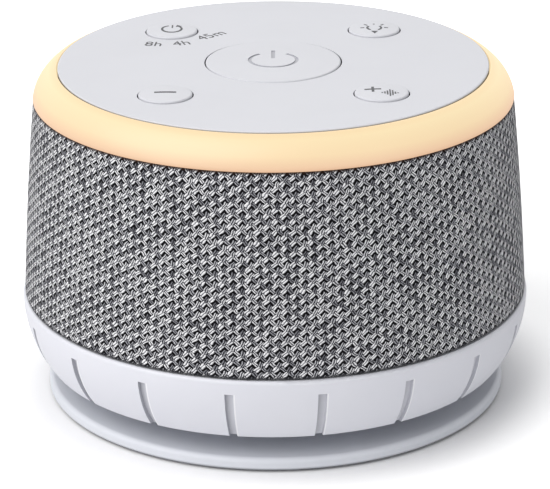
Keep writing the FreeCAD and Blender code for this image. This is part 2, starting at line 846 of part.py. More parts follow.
def make_tone_ring():
    body = new_body("tone_ring")
    bore = spigot_radius + s.turn_gap
    wall = s.ring_wall
    lip = skirt_radius(ring_bottom, 0.0) - wall
    edge = s.ring_edge
    revolve(
        body,
        "tone_ring_solid",
        [
            (bore, web_bottom),
            (lip, web_bottom),
            (lip, ring_bottom),
            (ring_foot_radius, ring_bottom),
            (ring_top_radius, curve_top, ring_curve, 1),
            (ring_top_radius - edge, ring_top, edge, 1),
            (ring_top_radius - wall, ring_top),
            (ring_top_radius - wall, curve_top),
            (skirt_radius(web_top, wall), web_top, ring_curve - wall, -1),
            (bore, web_top),
        ],
    )
    top = ring_top - s.groove_top_drop
    below = ring_bottom - 0.5
    depth = s.groove_depth
    clear = ring_top_radius + 1.0
    groove = revolved_cut(
        body,
        "finger_groove",
        [
            (clear, below),
            (clear, top),
            (skirt_radius(top, depth), top),
            (skirt_radius(below, depth), below, ring_curve - depth, -1),
        ],
        s.groove_angle,
    )
    repeat_round(body, groove, s.groove_count, "V_Axis")
    window = cut(
        body,
        "air_window",
        lambda k: draw_sector(k, port_inner_radius, port_outer_radius, s.port_half_angle),
        web_top,
        s.web_thickness,
        FRONT,
    )
    repeat_round(body, window, s.port_count)
    pad(
        body,
        "stop_peg",
        lambda k: draw_circle(k, s.stop_radius, stop_circle),
        web_top,
        s.turn_gap + s.housing_floor,
        FRONT - 20.0,
    )
    return body


# Lower housing, inside the turning ring


def make_lower_housing():
    body = new_body("lower_housing")
    gap = s.ring_wall + s.housing_gap
    wall = gap + s.housing_wall
    neck = ring_top_radius - gap
    flange = body_radius(flange_top, s.cloth_thickness)
    revolve(
        body,
        "housing_solid",
        [
            (0.0, housing_bottom),
            (skirt_radius(housing_bottom, gap), housing_bottom),
            (neck, curve_top, ring_curve - gap, 1),
            (neck, body_bottom),
            (flange, body_bottom),
            (flange, flange_top),
            (neck - s.housing_wall, flange_top),
            (neck - s.housing_wall, curve_top),
            (skirt_radius(housing_inside, wall), housing_inside, ring_curve - wall, -1),
            (0.0, housing_inside),
        ],
    )
    port = cut(
        body,
        "air_port",
        lambda k: draw_sector(k, port_inner_radius, port_outer_radius, s.port_half_angle),
        housing_inside,
        s.housing_floor,
        FRONT,
    )
    repeat_round(body, port, s.port_count)
    for name, angles, circle, top in (
        ("cage_post", boss_angles, cage_boss_circle, flange_top),
        ("bracket_post", arm_angles, bracket_circle, grommet_bottom),
        ("shroud_post", tab_angles, shroud_tab_circle, shroud_tab_bottom),
    ):
        add_posts(body, name, circle, 3, angles[0], s.boss_radius, housing_inside, top - housing_inside)
    add_posts(
        body,
        "foot_post",
        post_circle,
        s.foot_screw_count,
        45.0,
        s.boss_radius,
        housing_inside,
        s.screw_bite,
    )
    add_holes(
        body,
        "foot_pilot",
        post_circle,
        s.foot_screw_count,
        45.0,
        s.screw_shank,
        housing_bottom + s.screw_bite,
        s.screw_bite,
    )
    add_holes(
        body, "cage_way", cage_boss_circle, 3, boss_angles[0], screw_hole, flange_top, flange_top - housing_bottom
    )
    add_holes(
        body,
        "cage_well",
        cage_boss_circle,
        3,
        boss_angles[0],
        head_hole,
        housing_screw_seat,
        housing_screw_seat - housing_bottom,
    )
    for name, angles, circle, top in (
        ("bracket_pilot", arm_angles, bracket_circle, grommet_bottom),
        ("shroud_pilot", tab_angles, shroud_tab_circle, shroud_tab_bottom),
    ):
        add_holes(body, name, circle, 3, angles[0], s.screw_shank, top, top - housing_inside)
    slack = s.stop_radius + s.turn_gap
    stop_centre = FRONT - 20.0 + s.turn_angle / 2
    stop_half = s.turn_angle / 2 + 57.3 * slack / stop_circle
    cut(
        body,
        "stop_slot",
        lambda k: draw_sector(k, stop_circle - slack, stop_circle + slack, stop_half),
        housing_inside,
        s.housing_floor,
        stop_centre,
    )
    cut(
        body,
        "lead_hole",
        lambda k: draw_circle(k, s.lead_radius + 1.0, lead_rise),
        housing_inside,
        s.housing_floor,
    )
    return body


# Cloth body and the cage under it


def make_fabric_sleeve():
    body = new_body("fabric_sleeve")
    wall = s.cloth_thickness
    revolve(
        body,
        "fabric_solid",
        [
            (body_radius(body_bottom, wall), body_bottom, s.body_barrel - wall, -1),
            (body_radius(body_bottom, 0.0), body_bottom),
            (body_radius(body_top, 0.0), body_top, s.body_barrel, 1),
            (body_radius(body_top, wall), body_top),
        ],
    )
    return body


def make_grille_frame():
    body = new_body("grille_frame")
    outside = s.cloth_thickness
    inside = outside + s.cage_wall
    revolve(
        body,
        "cage_solid",
        [
            (body_radius(flange_top, inside), flange_top, s.body_barrel - inside, -1),
            (body_radius(flange_top, outside), flange_top),
            (body_radius(ledge_bottom, outside), ledge_bottom, s.body_barrel - outside, 1),
            (body_radius(ledge_bottom, inside), ledge_bottom),
        ],
    )
    middle = (flange_top + ledge_bottom) / 2
    rows = (
        ("lower_slot", flange_top + s.cage_band, middle - s.cage_hoop / 2),
        ("upper_slot", middle + s.cage_hoop / 2, ledge_bottom - s.cage_band),
    )
    for name, low, high in rows:
        near = body_top_radius - 6.0
        far = s.body_foot_radius + 1.0
        slot = revolved_cut(
            body,
            name,
            [(near, low), (far, low), (far, high), (near, high)],
            2 * s.slot_half_angle,
        )
        repeat_round(body, slot, s.slot_count, "V_Axis")
    tab_bottom = frame_boss_bottom - s.frame_tab
    for name, low, height in (
        ("cage_boss", flange_top, s.cage_boss_height),
        ("frame_tab", tab_bottom, s.frame_tab),
    ):
        rib_end = body_radius(low + height, inside) + s.cage_wall / 2
        rib = pad(
            body,
            f"{name}_rib",
            lambda k: draw_bar(k, cage_boss_circle, rib_end, s.rib_half),
            low,
            height,
            boss_angles[0],
        )
        repeat_round(body, rib, 3)
        add_posts(body, name, cage_boss_circle, 3, boss_angles[0], s.boss_radius, low, height)
    add_holes(
        body,
        "cage_pilot",
        cage_boss_circle,
        3,
        boss_angles[0],
        s.screw_shank,
        flange_top + s.screw_bite,
        s.screw_bite,
    )
    add_holes(
        body, "frame_way", cage_boss_circle, 3, boss_angles[0], screw_hole, frame_boss_bottom, s.frame_tab
    )
    return body


frame_boss_bottom = ledge_bottom - s.frame_boss_length
frame_screw_bite = ledge_top - s.frame_skin - frame_boss_bottom


# Tray with the electronics, light ring and control panel


def make_top_frame():
    body = new_body("top_frame")
    ledge = body_radius(body_top, s.cloth_thickness)
    inner = tray_radius - s.panel_wall
    revolve(
        body,
        "tray_solid",
        [
            (0.0, tray_bottom),
            (tray_radius, tray_bottom),
            (tray_radius, ledge_bottom),
            (ledge, ledge_bottom),
            (ledge, ledge_top),
            (inner, ledge_top),
            (inner, tray_inside),
            (0.0, tray_inside),
        ],
    )
    add_posts(
        body,
        "board_post",
        board_screw_circle,
        s.board_screw_count,
        0.0,
        s.boss_radius,
        tray_inside,
        s.board_lift,
    )
    add_posts(
        body,
        "frame_boss",
        cage_boss_circle,
        3,
        boss_angles[0],
        s.boss_radius,
        frame_boss_bottom,
        s.frame_boss_length,
    )
    add_holes(
        body,
        "board_way",
        board_screw_circle,
        s.board_screw_count,
        0.0,
        screw_hole,
        board_bottom,
        board_bottom - tray_bottom,
    )
    add_holes(
        body,
        "frame_pilot",
        cage_boss_circle,
        3,
        boss_angles[0],
        s.screw_shank,
        ledge_top - s.frame_skin,
        frame_screw_bite,
    )
    add_holes(
        body, "lead_way", lead_entry, 2, 0.0, s.lead_radius + 0.6, tray_inside, s.tray_floor
    )
    return body


def make_light_ring():
    body = new_body("light_ring")
    wall = s.light_wall
    foot = tray_radius + 0.5
    roof = panel_bottom - wall
    revolve(
        body,
        "light_ring_solid",
        [
            (light_radius(ledge_top, wall), ledge_top, s.light_bulge - wall, -1),
            (body_top_radius, ledge_top),
            (light_inner, light_top, s.light_bulge, 1),
            (light_inner, panel_bottom),
            (foot, panel_bottom),
            (foot, ledge_top),
            (foot + wall, ledge_top),
            (foot + wall, roof),
            (light_radius(roof, wall), roof),
        ],
    )
    return body


def make_light_board():
    body = new_body("light_board")
    revolve(
        body,
        "light_board_solid",
        [
            (led_board_inner, ledge_top),
            (led_board_outer, ledge_top),
            (led_board_outer, ledge_top + s.led_board_thickness),
            (led_board_inner, ledge_top + s.led_board_thickness),
        ],
    )
    return body


def make_light_leds():
    circle = (led_board_inner + led_board_outer) / 2
    made = []
    for i, angle in enumerate(round_angles(s.led_count)):
        x, y = polar(circle, angle)
        made.append(
            block(
                f"lamp_{i + 1}",
                s.led_side,
                s.led_side,
                s.led_height,
                x,
                y,
                ledge_top + s.led_board_thickness,
                angle,
            )
        )
    return group("light_leds", made)


def make_top_panel():
    body = new_body("top_panel")
    edge = s.panel_edge
    wall = panel_wall_radius - s.panel_wall
    revolve(
        body,
        "panel_solid",
        [
            (0.0, panel_bottom),
            (wall, panel_bottom),
            (wall, ledge_top),
            (panel_wall_radius, ledge_top),
            (panel_wall_radius, panel_bottom),
            (panel_radius, panel_bottom),
            (panel_radius, panel_top - edge),
            (panel_radius - edge, panel_top, edge, 1),
            (0.0, panel_top),
        ],
    )
    add_posts(
        body,
        "panel_boss",
        board_screw_circle,
        s.board_screw_count,
        0.0,
        s.boss_radius - 0.4,
        board_top,
        panel_bottom - board_top,
    )
    add_holes(
        body,
        "panel_pilot",
        board_screw_circle,
        s.board_screw_count,
        0.0,
        s.screw_shank,
        board_top + s.screw_bite,
        s.screw_bite,
    )
    cut(
        body,
        "power_hole",
        lambda k: draw_circle(k, s.power_radius + s.button_gap),
        panel_top,
        s.panel_thickness,
    )
    add_holes(
        body,
        "button_hole",
        button_circle,
        4,
        45.0,
        s.button_radius + s.button_gap,
        panel_top,
        s.panel_thickness,
    )
    return body


stem_bottom = switch_top + s.plunger_length - 1.6
button_places = {
    "power_button": (as_size(0.0), as_size(0.0)),
    "light_button": polar(button_circle, 45.0),
    "timer_button": polar(button_circle, 135.0),
    "minus_button": polar(button_circle, 225.0),
    "plus_button": polar(button_circle, 315.0),
}


def make_button(label, radius, proud):
    """A crowned cap with a flange that keeps it under the panel."""
    body = new_body(label)
    edge = 0.5
    rim = radius - edge
    top = panel_top + proud
    shoulder_z = top - s.crown
    flange_z = panel_bottom - 0.1
    inside = shoulder_z - s.cap_wall
    crown_bend = (rim * rim + s.crown * s.crown) / (2 * s.crown)
    revolve(
        body,
        f"{label}_solid",
        [
            (0.0, stem_bottom),
            (s.stem_radius, stem_bottom),
            (s.stem_radius, inside),
            (radius - s.cap_wall, inside),
            (radius - s.cap_wall, flange_z - s.flange_thickness),
            (radius + s.flange_width, flange_z - s.flange_thickness),
            (radius + s.flange_width, flange_z),
            (radius, flange_z),
            (radius, shoulder_z - edge),
            (rim, shoulder_z, edge, 1),
            (0.0, top, crown_bend, 1),
        ],
    )
    if label == "power_button":
        near = s.symbol_radius - s.symbol_half_width
        far = s.symbol_radius + s.symbol_half_width
        cut(
            body,
            "symbol_ring",
            lambda k: draw_sector(k, near, far, s.symbol_half_angle),
            top + 1.0,
            s.symbol_depth + 1.0,
            FRONT,
        )
        cut(
            body,
            "symbol_stroke",
            lambda k: draw_bar(k, s.symbol_start, far + s.symbol_reach, s.symbol_half_width),
            top + 1.0,
            s.symbol_depth + 1.0,
            -FRONT,
        )
    x, y = button_places[label]
    place(body, x, y)
    return body


def make_plunger(label, x, y):
    """The moving pin of a push switch."""
    made = cylinder(
        label, s.plunger_radius, s.plunger_length, x, y, stem_bottom - s.plunger_length
    )
    return made


def make_tact_switches():
    made = []
    bore_depth = 2.7
    for label, (x, y) in button_places.items():
        case = block(f"{label}_case", s.switch_side, s.switch_side, s.switch_height, x, y, board_top)
        bore = cylinder(
            f"{label}_bore",
            s.plunger_radius + s.plunger_gap,
            bore_depth + 1.0,
            x,
            y,
            switch_top - bore_depth,
        )
        made.append(difference(f"{label}_switch", case, bore))
    return group("tact_switches", made)


def make_control_board():
    body = new_body("control_board")
    pad(
        body,
        "board_disc",
        lambda k: draw_circle(k, board_radius),
        board_bottom,
        s.board_thickness,
    )
    add_holes(
        body,
        "board_hole",
        board_screw_circle,
        s.board_screw_count,
        0.0,
        screw_hole,
        board_top,
        s.board_thickness,
    )
    return body


def make_board_chips():
    """Controller, motor driver, voltage regulator and a capacitor."""
    circle = s.power_radius + s.flange_width + s.chip_gap
    made = [
        block("controller_chip", 7.0, 7.0, 1.0, 0.0, circle, board_top),
        block("driver_chip", 5.0, 6.2, 1.4, 0.0, -circle, board_top),
        block("regulator_chip", 6.6, 6.2, 2.2, circle, 0.0, board_top),
        cylinder("capacitor", 4.0, 7.0, -circle, 0.0, board_top),
    ]
    return group("board_chips", made)


def make_timer_leds():
    """Three small lamps under the timer's marks."""
    made = []
    centre_x, centre_y = button_places["timer_button"]
    for i, angle in enumerate((-105.0, -72.0, -20.0)):
        x, y = polar(s.timer_arc, angle)
        made.append(block(f"timer_lamp_{i + 1}", 2.0, 1.25, 0.8, centre_x + x, centre_y + y, board_top))
    return group("timer_leds", made)


# Fan

cup_inner = s.stator_radius + s.air_gap + s.magnet_thickness
cup_outer = cup_inner + s.cup_wall
hub_radius = cup_outer + s.hub_wall
blade_root_radius = hub_radius + s.hub_gap
tube_top = bracket_top + s.tube_height
cup_top = tube_top + 1.2 + s.cup_wall
cup_bottom = cup_top - s.cup_height
plate_bottom = cup_bottom + 1.2
plate_top = plate_bottom + s.impeller_plate
blade_top = plate_top + s.blade_height
stator_bottom = bracket_top + s.stator_rise
stator_top = stator_bottom + s.stator_height
shaft_bottom = bracket_top + 1.0
bearing_bottom = bracket_top + 2.4
clip_top = bearing_bottom - 0.3


def ring_solid(label, inner, outer, low, high):
    """A plain ring about the Z axis."""
    body = new_body(label)
    revolve(body, f"{label}_solid", [(inner, low), (outer, low), (outer, high), (inner, high)])
    return body


def make_motor_bracket():
    body = new_body("motor_bracket")
    thick = s.bracket_thickness
    pad(body, "bracket_disc", lambda k: draw_circle(k, s.bracket_radius), bracket_bottom, thick)
    arm = pad(
        body,
        "bracket_arm",
        lambda k: draw_bar(k, s.bracket_radius - 2.0, bracket_circle, s.arm_width / 2),
        bracket_bottom,
        thick,
        arm_angles[0],
    )
    repeat_round(body, arm, 3)
    eye = s.grommet_waist + 2.6
    add_posts(body, "bracket_eye", bracket_circle, 3, arm_angles[0], eye, bracket_bottom, thick)
    add_holes(
        body, "eye_hole", bracket_circle, 3, arm_angles[0], s.grommet_waist, bracket_top, thick
    )
    pad(body, "bearing_tube", lambda k: draw_circle(k, s.tube_radius), bracket_top, s.tube_height)
    cut(body, "tube_bore", lambda k: draw_circle(k, s.tube_bore), tube_top, s.tube_height)
    return body


def make_motor_grommets():
    made = []
    for i, angle in enumerate(arm_angles):
        x, y = polar(bracket_circle, angle)
        low = cylinder(f"grommet_low_{i + 1}", s.grommet_radius, bracket_bottom - grommet_bottom, x, y, grommet_bottom)
        waist = cylinder(f"grommet_waist_{i + 1}", s.grommet_waist, s.bracket_thickness, x, y, bracket_bottom)
        high = cylinder(f"grommet_high_{i + 1}", s.grommet_radius, grommet_top - bracket_top, x, y, bracket_top)
        bore = cylinder(f"grommet_bore_{i + 1}", screw_hole, s.grommet_height, x, y, grommet_bottom)
        solid = union(f"grommet_{i + 1}_solid", [low, waist, high])
        made.append(difference(f"grommet_{i + 1}", solid, bore))
    return group("motor_grommets", made)


def make_stator_core():
    body = new_body("stator_core")
    height = s.stator_height
    pad(body, "stator_hub", lambda k: draw_circle(k, s.tube_radius + 3.0), stator_bottom, height)
    arm = pad(
        body,
        "stator_arm",
        lambda k: draw_bar(k, s.tube_radius + 2.0, s.stator_radius - 1.4, 1.6),
        stator_bottom,
        height,
    )
    repeat_round(body, arm, s.pole_count)
    tip = pad(
        body,
        "stator_tip",
        lambda k: draw_sector(k, s.stator_radius - 1.8, s.stator_radius, 17.0),
        stator_bottom,
        height,
    )
    repeat_round(body, tip, s.pole_count)
    cut(body, "stator_bore", lambda k: draw_circle(k, s.tube_radius), stator_top, height)
    return body


def make_stator_coils():
    made = []
    reach = 1.4
    for i, angle in enumerate(round_angles(s.pole_count, 0.0)):
        x, y = polar(s.tube_radius + 6.0, angle)
        wound = block(
            f"coil_{i + 1}_wound", 4.8, 6.0, s.stator_height + 2 * reach, x, y, stator_bottom - reach, angle
        )
        core = block(f"coil_{i + 1}_core", 5.4, 3.2, s.stator_height, x, y, stator_bottom, angle)
        made.append(difference(f"coil_{i + 1}", wound, core))
    return group("stator_coils", made)


def make_rotor_cup():
    body = new_body("rotor_cup")
    roof = cup_top - s.cup_wall
    revolve(
        body,
        "cup_solid",
        [
            (s.shaft_radius, roof),
            (cup_inner, roof),
            (cup_inner, cup_bottom),
            (cup_outer, cup_bottom),
            (cup_outer, cup_top),
            (s.shaft_radius, cup_top),
        ],
    )
    return body


def make_impeller():
    """Eleven curved blades on a back plate, drawn over the rotor cup."""
    body = new_body("impeller")
    revolve(
        body,
        "impeller_hub",
        [
            (cup_outer, plate_bottom),
            (impeller_radius, plate_bottom),
            (impeller_radius, plate_top),
            (hub_radius, plate_top),
            (hub_radius, cup_top),
            (cup_outer, cup_top + s.hub_wall, s.hub_wall, 1),
            (0.0, cup_top + s.hub_wall),
            (0.0, cup_top),
            (cup_outer, cup_top),
        ],
    )
    tip = impeller_radius - s.blade_margin
    sweep = s.blade_sweep
    lead_x, lead_y = polar(tip, sweep)
    trail_x, trail_y = polar(tip, sweep + 57.3 * s.blade_thickness / tip)
    half = s.blade_thickness / 2

    def draw_blade(sketch):
        draw_outline(
            sketch,
            [
                (blade_root_radius, -half),
                (lead_x, lead_y, s.blade_bend, 1),
                (trail_x, trail_y),
                (blade_root_radius, half, s.blade_bend, -1),
            ],
        )

    blade = pad(body, "blade", draw_blade, plate_top - 0.4, s.blade_height + 0.4)
    repeat_round(body, blade, s.blade_count)
    revolve(
        body,
        "impeller_crown",
        [
            (impeller_radius - s.crown_width, blade_top - s.crown_thickness),
            (impeller_radius, blade_top - s.crown_thickness),
            (impeller_radius, blade_top),
            (impeller_radius - s.crown_width, blade_top),
        ],
    )
    return body


def make_fan_shroud():
    body = new_body("fan_shroud")
    wall = s.shroud_wall
    top = housing_inside + s.shroud_height
    bend = s.shroud_shoulder
    lip = s.inlet_radius + 3.0
    revolve(
        body,
        "shroud_solid",
        [
            (shroud_radius - wall, housing_inside),
            (shroud_radius, housing_inside),
            (shroud_radius, top - bend),
            (shroud_radius - bend, top, bend, 1),
            (lip, top),
            (s.inlet_radius + 1.0, top + s.inlet_lip, s.inlet_lip + 1.0, -1),
            (s.inlet_radius - 0.6, top + s.inlet_lip),
            (s.inlet_radius, top - wall),
            (shroud_radius - bend, top - wall),
            (shroud_radius - wall, top - bend, bend - wall, -1),
        ],
    )
    rib = pad(
        body,
        "tab_rib",
        lambda k: draw_bar(k, shroud_radius - wall / 2, shroud_tab_circle, s.boss_radius),
        shroud_tab_bottom,
        s.shroud_tab_thickness,
        tab_angles[0],
    )
    repeat_round(body, rib, 3)
    add_posts(
        body,
        "shroud_tab",
        shroud_tab_circle,
        3,
        tab_angles[0],
        s.boss_radius,
        shroud_tab_bottom,
        s.shroud_tab_thickness,
    )
    add_holes(
        body,
        "tab_hole",
        shroud_tab_circle,
        3,
        tab_angles[0],
        screw_hole,
        shroud_tab_bottom + s.shroud_tab_thickness,
        s.shroud_tab_thickness,
    )
    notch_top = s.lead_level + s.lead_radius + 0.8
    notch = cut(
        body,
        "lead_notch",
        lambda k: draw_bar(k, shroud_radius - 6.0, shroud_radius + 2.0, s.lead_radius + 0.6),
        housing_inside + notch_top,
        notch_top,
    )
    repeat_round(body, notch, 2)
    return body


def make_lead(label, radius, points):
    """A lead that turns at right angles from point to point, with rounded corners."""
    made = []
    turns = {"x": Rotation(Vector(0, 1, 0), 90), "y": Rotation(Vector(1, 0, 0), -90), "z": Rotation()}
    for i, (start, end) in enumerate(zip(points, points[1:])):
        start = [as_size(v) for v in start]
        end = [as_size(v) for v in end]
        axis = next(a for a in range(3) if abs(end[a].value - start[a].value) > 1e-6)
        low = start if start[axis].value < end[axis].value else end
        high = end if low is start else start
        run = doc.addObject("Part::Cylinder", f"{label}_run_{i + 1}")
        run.Placement = Placement(Vector(0, 0, 0), turns["xyz"[axis]])
        bind(run, "Radius", radius)
        bind(run, "Height", high[axis] - low[axis])
        place(run, *low)
        made.append(run)
        if i + 2 < len(points):
            bend = doc.addObject("Part::Sphere", f"{label}_bend_{i + 1}")
            bind(bend, "Radius", radius)
            place(bend, *end)
            made.append(bend)
    lead = union(label, made)
    lead.Label = label
    return lead


def make_power_lead():
    level = housing_inside + s.lead_level
    below_tray = tray_bottom - s.lead_drop
    behind = s.neck_radius - s.foot_wall - 0.6 - s.socket_length
    return make_lead(
        "power_lead",
        s.lead_radius,
        [
            (0.0, behind, s.socket_height),
            (0.0, 0.0, s.socket_height),
            (lead_rise, 0.0, s.socket_height),
            (lead_rise, 0.0, level),
            (lead_climb, 0.0, level),
            (lead_climb, 0.0, below_tray),
            (lead_entry, 0.0, below_tray),
            (lead_entry, 0.0, board_bottom),
        ],
    )


def make_fan_lead():
    level = housing_inside + s.lead_level
    below_tray = tray_bottom - s.lead_drop
    motor = bracket_top + s.fan_lead_radius
    turn = impeller_radius + 3.0
    return make_lead(
        "fan_lead",
        s.fan_lead_radius,
        [
            (-15.0, 0.0, motor),
            (-turn, 0.0, motor),
            (-turn, 0.0, level),
            (-lead_climb, 0.0, level),
            (-lead_climb, 0.0, below_tray),
            (-lead_entry, 0.0, below_tray),
            (-lead_entry, 0.0, board_bottom),
        ],
    )


# All pieces

foot_screw_length = housing_bottom + s.screw_bite - foot_screw_seat - 0.5
cage_screw_length = flange_top + s.screw_bite - housing_screw_seat - 0.5
frame_screw_seat = frame_boss_bottom - s.frame_tab
frame_screw_length = s.frame_tab + frame_screw_bite - 0.2
board_screw_length = board_top + s.screw_bite - tray_bottom - 0.5
shroud_screw_seat = shroud_tab_bottom + s.shroud_tab_thickness
pieces = [
    make_foot_ring(),
    make_foot_base(),
    make_dc_socket(),
    make_glide_washer(),
    make_tone_ring(),
    make_lower_housing(),
    screws("foot_screws", post_circle, foot_screw_angles, foot_screw_seat, foot_screw_length, True),
    screws("cage_screws", cage_boss_circle, boss_angles, housing_screw_seat, cage_screw_length, True),
    make_grille_frame(),
    make_fabric_sleeve(),
    make_top_frame(),
    screws("frame_screws", cage_boss_circle, boss_angles, frame_screw_seat, frame_screw_length, True),
    make_light_ring(),
    make_light_board(),
    make_light_leds(),
    make_top_panel(),
    make_control_board(),
    make_board_chips(),
    make_timer_leds(),
    make_tact_switches(),
    screws("board_screws", board_screw_circle, board_screw_angles, tray_bottom, board_screw_length, True),
    make_motor_bracket(),
    make_motor_grommets(),
    screws("bracket_screws", bracket_circle, arm_angles, grommet_top, s.screw_bite + 4.5, False),
    ring_solid("motor_board", s.tube_radius, s.stator_radius - 2.6, bracket_top, bracket_top + 1.2),
    make_stator_core(),
    make_stator_coils(),
    ring_solid(
        "lower_bearing",
        s.shaft_radius + s.bearing_gap,
        s.tube_bore,
        bearing_bottom,
        bearing_bottom + s.bearing_length,
    ),
    ring_solid(
        "upper_bearing", s.shaft_radius + s.bearing_gap, s.tube_bore, tube_top - s.bearing_length, tube_top
    ),
    cylinder("motor_shaft", s.shaft_radius, cup_top - shaft_bottom, 0.0, 0.0, shaft_bottom),
    ring_solid("shaft_clip", s.shaft_radius, 2.9, clip_top - 0.5, clip_top),
    make_rotor_cup(),
    ring_solid("rotor_magnet", s.stator_radius + s.air_gap, cup_inner, cup_bottom + 0.6, cup_top - 2.6),
    make_impeller(),
    make_fan_shroud(),
    screws("shroud_screws", shroud_tab_circle, tab_angles, shroud_screw_seat, 6.0, False),
    make_power_lead(),
    make_fan_lead(),
]
for label, (x, y) in button_places.items():
    power = label == "power_button"
    radius = s.power_radius if power else s.button_radius
    proud = s.power_proud if power else s.button_proud
    pieces.append(make_button(label, radius, proud))
    pieces.append(make_plunger(label.replace("button", "plunger"), x, y))

doc.recompute()
for thing in doc.Objects:
    if {"Invalid", "Error"} & set(thing.State):
        raise RuntimeError(f"{thing.Label} is not sound: {thing.State}")

os.makedirs("parts", exist_ok=True)
for piece in pieces:
    shape = piece.Shape
    if shape.isNull() or not shape.isValid() or not shape.Solids:
        raise RuntimeError(f"{piece.Label} has no sound solid")
    shape.exportStep(f"parts/{piece.Label}.step")
    print(f"{piece.Label}: {len(shape.Solids)} solid(s), {shape.Volume:.0f} mm3")
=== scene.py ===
import bpy
import bmesh
import math
from mathutils import Matrix, Vector, noise


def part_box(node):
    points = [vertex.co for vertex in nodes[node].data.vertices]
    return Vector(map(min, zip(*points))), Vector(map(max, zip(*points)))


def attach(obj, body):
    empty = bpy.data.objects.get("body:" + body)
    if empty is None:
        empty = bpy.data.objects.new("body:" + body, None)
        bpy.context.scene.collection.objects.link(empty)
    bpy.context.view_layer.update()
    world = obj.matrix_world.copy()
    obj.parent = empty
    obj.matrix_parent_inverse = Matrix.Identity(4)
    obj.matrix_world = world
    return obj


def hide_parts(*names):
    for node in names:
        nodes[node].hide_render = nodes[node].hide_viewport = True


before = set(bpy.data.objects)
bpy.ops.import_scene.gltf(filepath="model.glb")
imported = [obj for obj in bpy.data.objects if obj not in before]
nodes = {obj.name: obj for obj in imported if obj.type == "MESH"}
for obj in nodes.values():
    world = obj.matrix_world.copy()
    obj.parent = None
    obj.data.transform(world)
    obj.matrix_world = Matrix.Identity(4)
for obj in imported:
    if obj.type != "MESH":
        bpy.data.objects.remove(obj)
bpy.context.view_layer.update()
print("frame loaded:", len(nodes), "nodes")

mm = 0.001


# small helpers

def srgb(code):
    # hex colour code to linear colour
    parts = [int(code[i:i + 2], 16) / 255 for i in (0, 2, 4)]
    return [p / 12.92 if p <= 0.04045 else ((p + 0.055) / 1.055) ** 2.4 for p in parts] + [1.0]


def plugIn(tree, node, inputs):
    # a node stands for its first output, anything else is a plain value
    for key, value in inputs.items():
        if isinstance(value, bpy.types.Node):
            value = value.outputs[0]
        if isinstance(value, bpy.types.NodeSocket):
            tree.links.new(value, node.inputs[key])
        else:
            node.inputs[key].default_value = value


def addNode(tree, kind, inputs=None, stops=(), **settings):
    # settings are the node's own options, stops are the places and colours of a ramp
    node = tree.nodes.new("ShaderNode" + kind)
    for name, value in settings.items():
        setattr(node, name, value)
    for k, (place, code) in enumerate(stops):
        stop = node.color_ramp.elements[k] if k < 2 else node.color_ramp.elements.new(place)
        stop.position, stop.color = place, srgb(code)
    plugIn(tree, node, inputs or {})
    return node


def newMaterial(name):
    mat = bpy.data.materials.new(name)
    mat.use_nodes = True
    tree = mat.node_tree
    return mat, tree, tree.nodes["Principled BSDF"]


def paintShading(tree, amount, code):
    # lays a painted shade or painted highlight colour over the colour that the surface has so far
    shader = tree.nodes["Principled BSDF"]
    face = shader.inputs["Base Color"].links[0].from_socket
    mix = addNode(tree, "Mix", {"Factor": amount, 6: face, 7: srgb(code)}, data_type="RGBA")
    plugIn(tree, shader, {"Base Color": mix.outputs[2]})


def setCadMaterial(names, mat):
    for name in names:
        mesh = nodes[name].data
        mesh.materials.clear()
        mesh.materials.append(mat)


def newPiece(name, bm, mat, body):
    # a finished mesh becomes a piece that moves with its body
    mesh = bpy.data.meshes.new(name)
    bm.to_mesh(mesh)
    bm.free()
    piece = bpy.data.objects.new(name, mesh)
    bpy.context.scene.collection.objects.link(piece)
    mesh.materials.append(mat)
    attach(piece, body)
    return piece


def middleOf(node):
    # a CAD piece's middle, seen from above
    low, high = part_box(node)
    return ((low[0] + high[0]) / 2, (low[1] + high[1]) / 2)


# moulded plastics, rubber and metals of the machine

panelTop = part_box("top_panel")[1][2]
colourDrift = 45.0  # cells of slow colour change to a metre of moulding, 22 mm each


def mouldedPlastic(name, light, dark, roughness, grainSize, grainDepth):
    # injection moulded: a spark-eroded texture breaks up the shine, and the colour drifts very slightly
    # the real texture is about 0.1 mm, too fine to show, so its grain is drawn 0.3 to 0.6 mm wide
    mat, tree, shader = newMaterial(name)
    place = addNode(tree, "TexCoord").outputs["Object"]
    cloud = addNode(tree, "TexNoise", {"Vector": place, "Scale": colourDrift, "Detail": 3.0})
    grain = addNode(tree, "TexNoise", {"Vector": place, "Scale": 1 / grainSize, "Detail": 2.0})
    speck = addNode(tree, "TexVoronoi", {"Vector": place, "Scale": 0.7 / grainSize})
    colour = addNode(tree, "ValToRGB", {"Fac": cloud}, stops=[(0.3, dark), (0.7, light)])
    shine = addNode(tree, "Math", {0: cloud, 1: 0.08, 2: roughness - 0.04}, operation="MULTIPLY_ADD")
    shine = addNode(tree, "Math", {0: grain, 1: 0.06, 2: shine}, operation="MULTIPLY_ADD")
    height = addNode(tree, "Math", {0: speck.outputs["Distance"], 1: 0.5, 2: grain}, operation="MULTIPLY_ADD")
    bump = addNode(tree, "Bump", {"Strength": 0.35, "Distance": grainDepth, "Height": height})
    plugIn(tree, shader, {"Base Color": colour, "Roughness": shine, "Normal": bump, "IOR": 1.49})
    return mat


gapShade = {"starts": 0.15 * mm, "full": 0.6 * mm, "colour": "26272B"}  # depths below the panel


def gapPlastic(name, light, dark, roughness, grainSize):
    # walls down in the narrow gaps between cap and panel get painted shade, darker with depth until they read
    # nearly black
    mat = mouldedPlastic(name, light, dark, roughness, grainSize, 0.02 * mm)
    tree = mat.node_tree
    place = addNode(tree, "TexCoord").outputs["Object"]
    height = addNode(tree, "SeparateXYZ", {"Vector": place}).outputs["Z"]
    down = addNode(tree, "MapRange", {"Value": height, "From Min": panelTop - gapShade["starts"],
                                      "From Max": panelTop - gapShade["full"]})
    paintShading(tree, down, gapShade["colour"])
    return mat


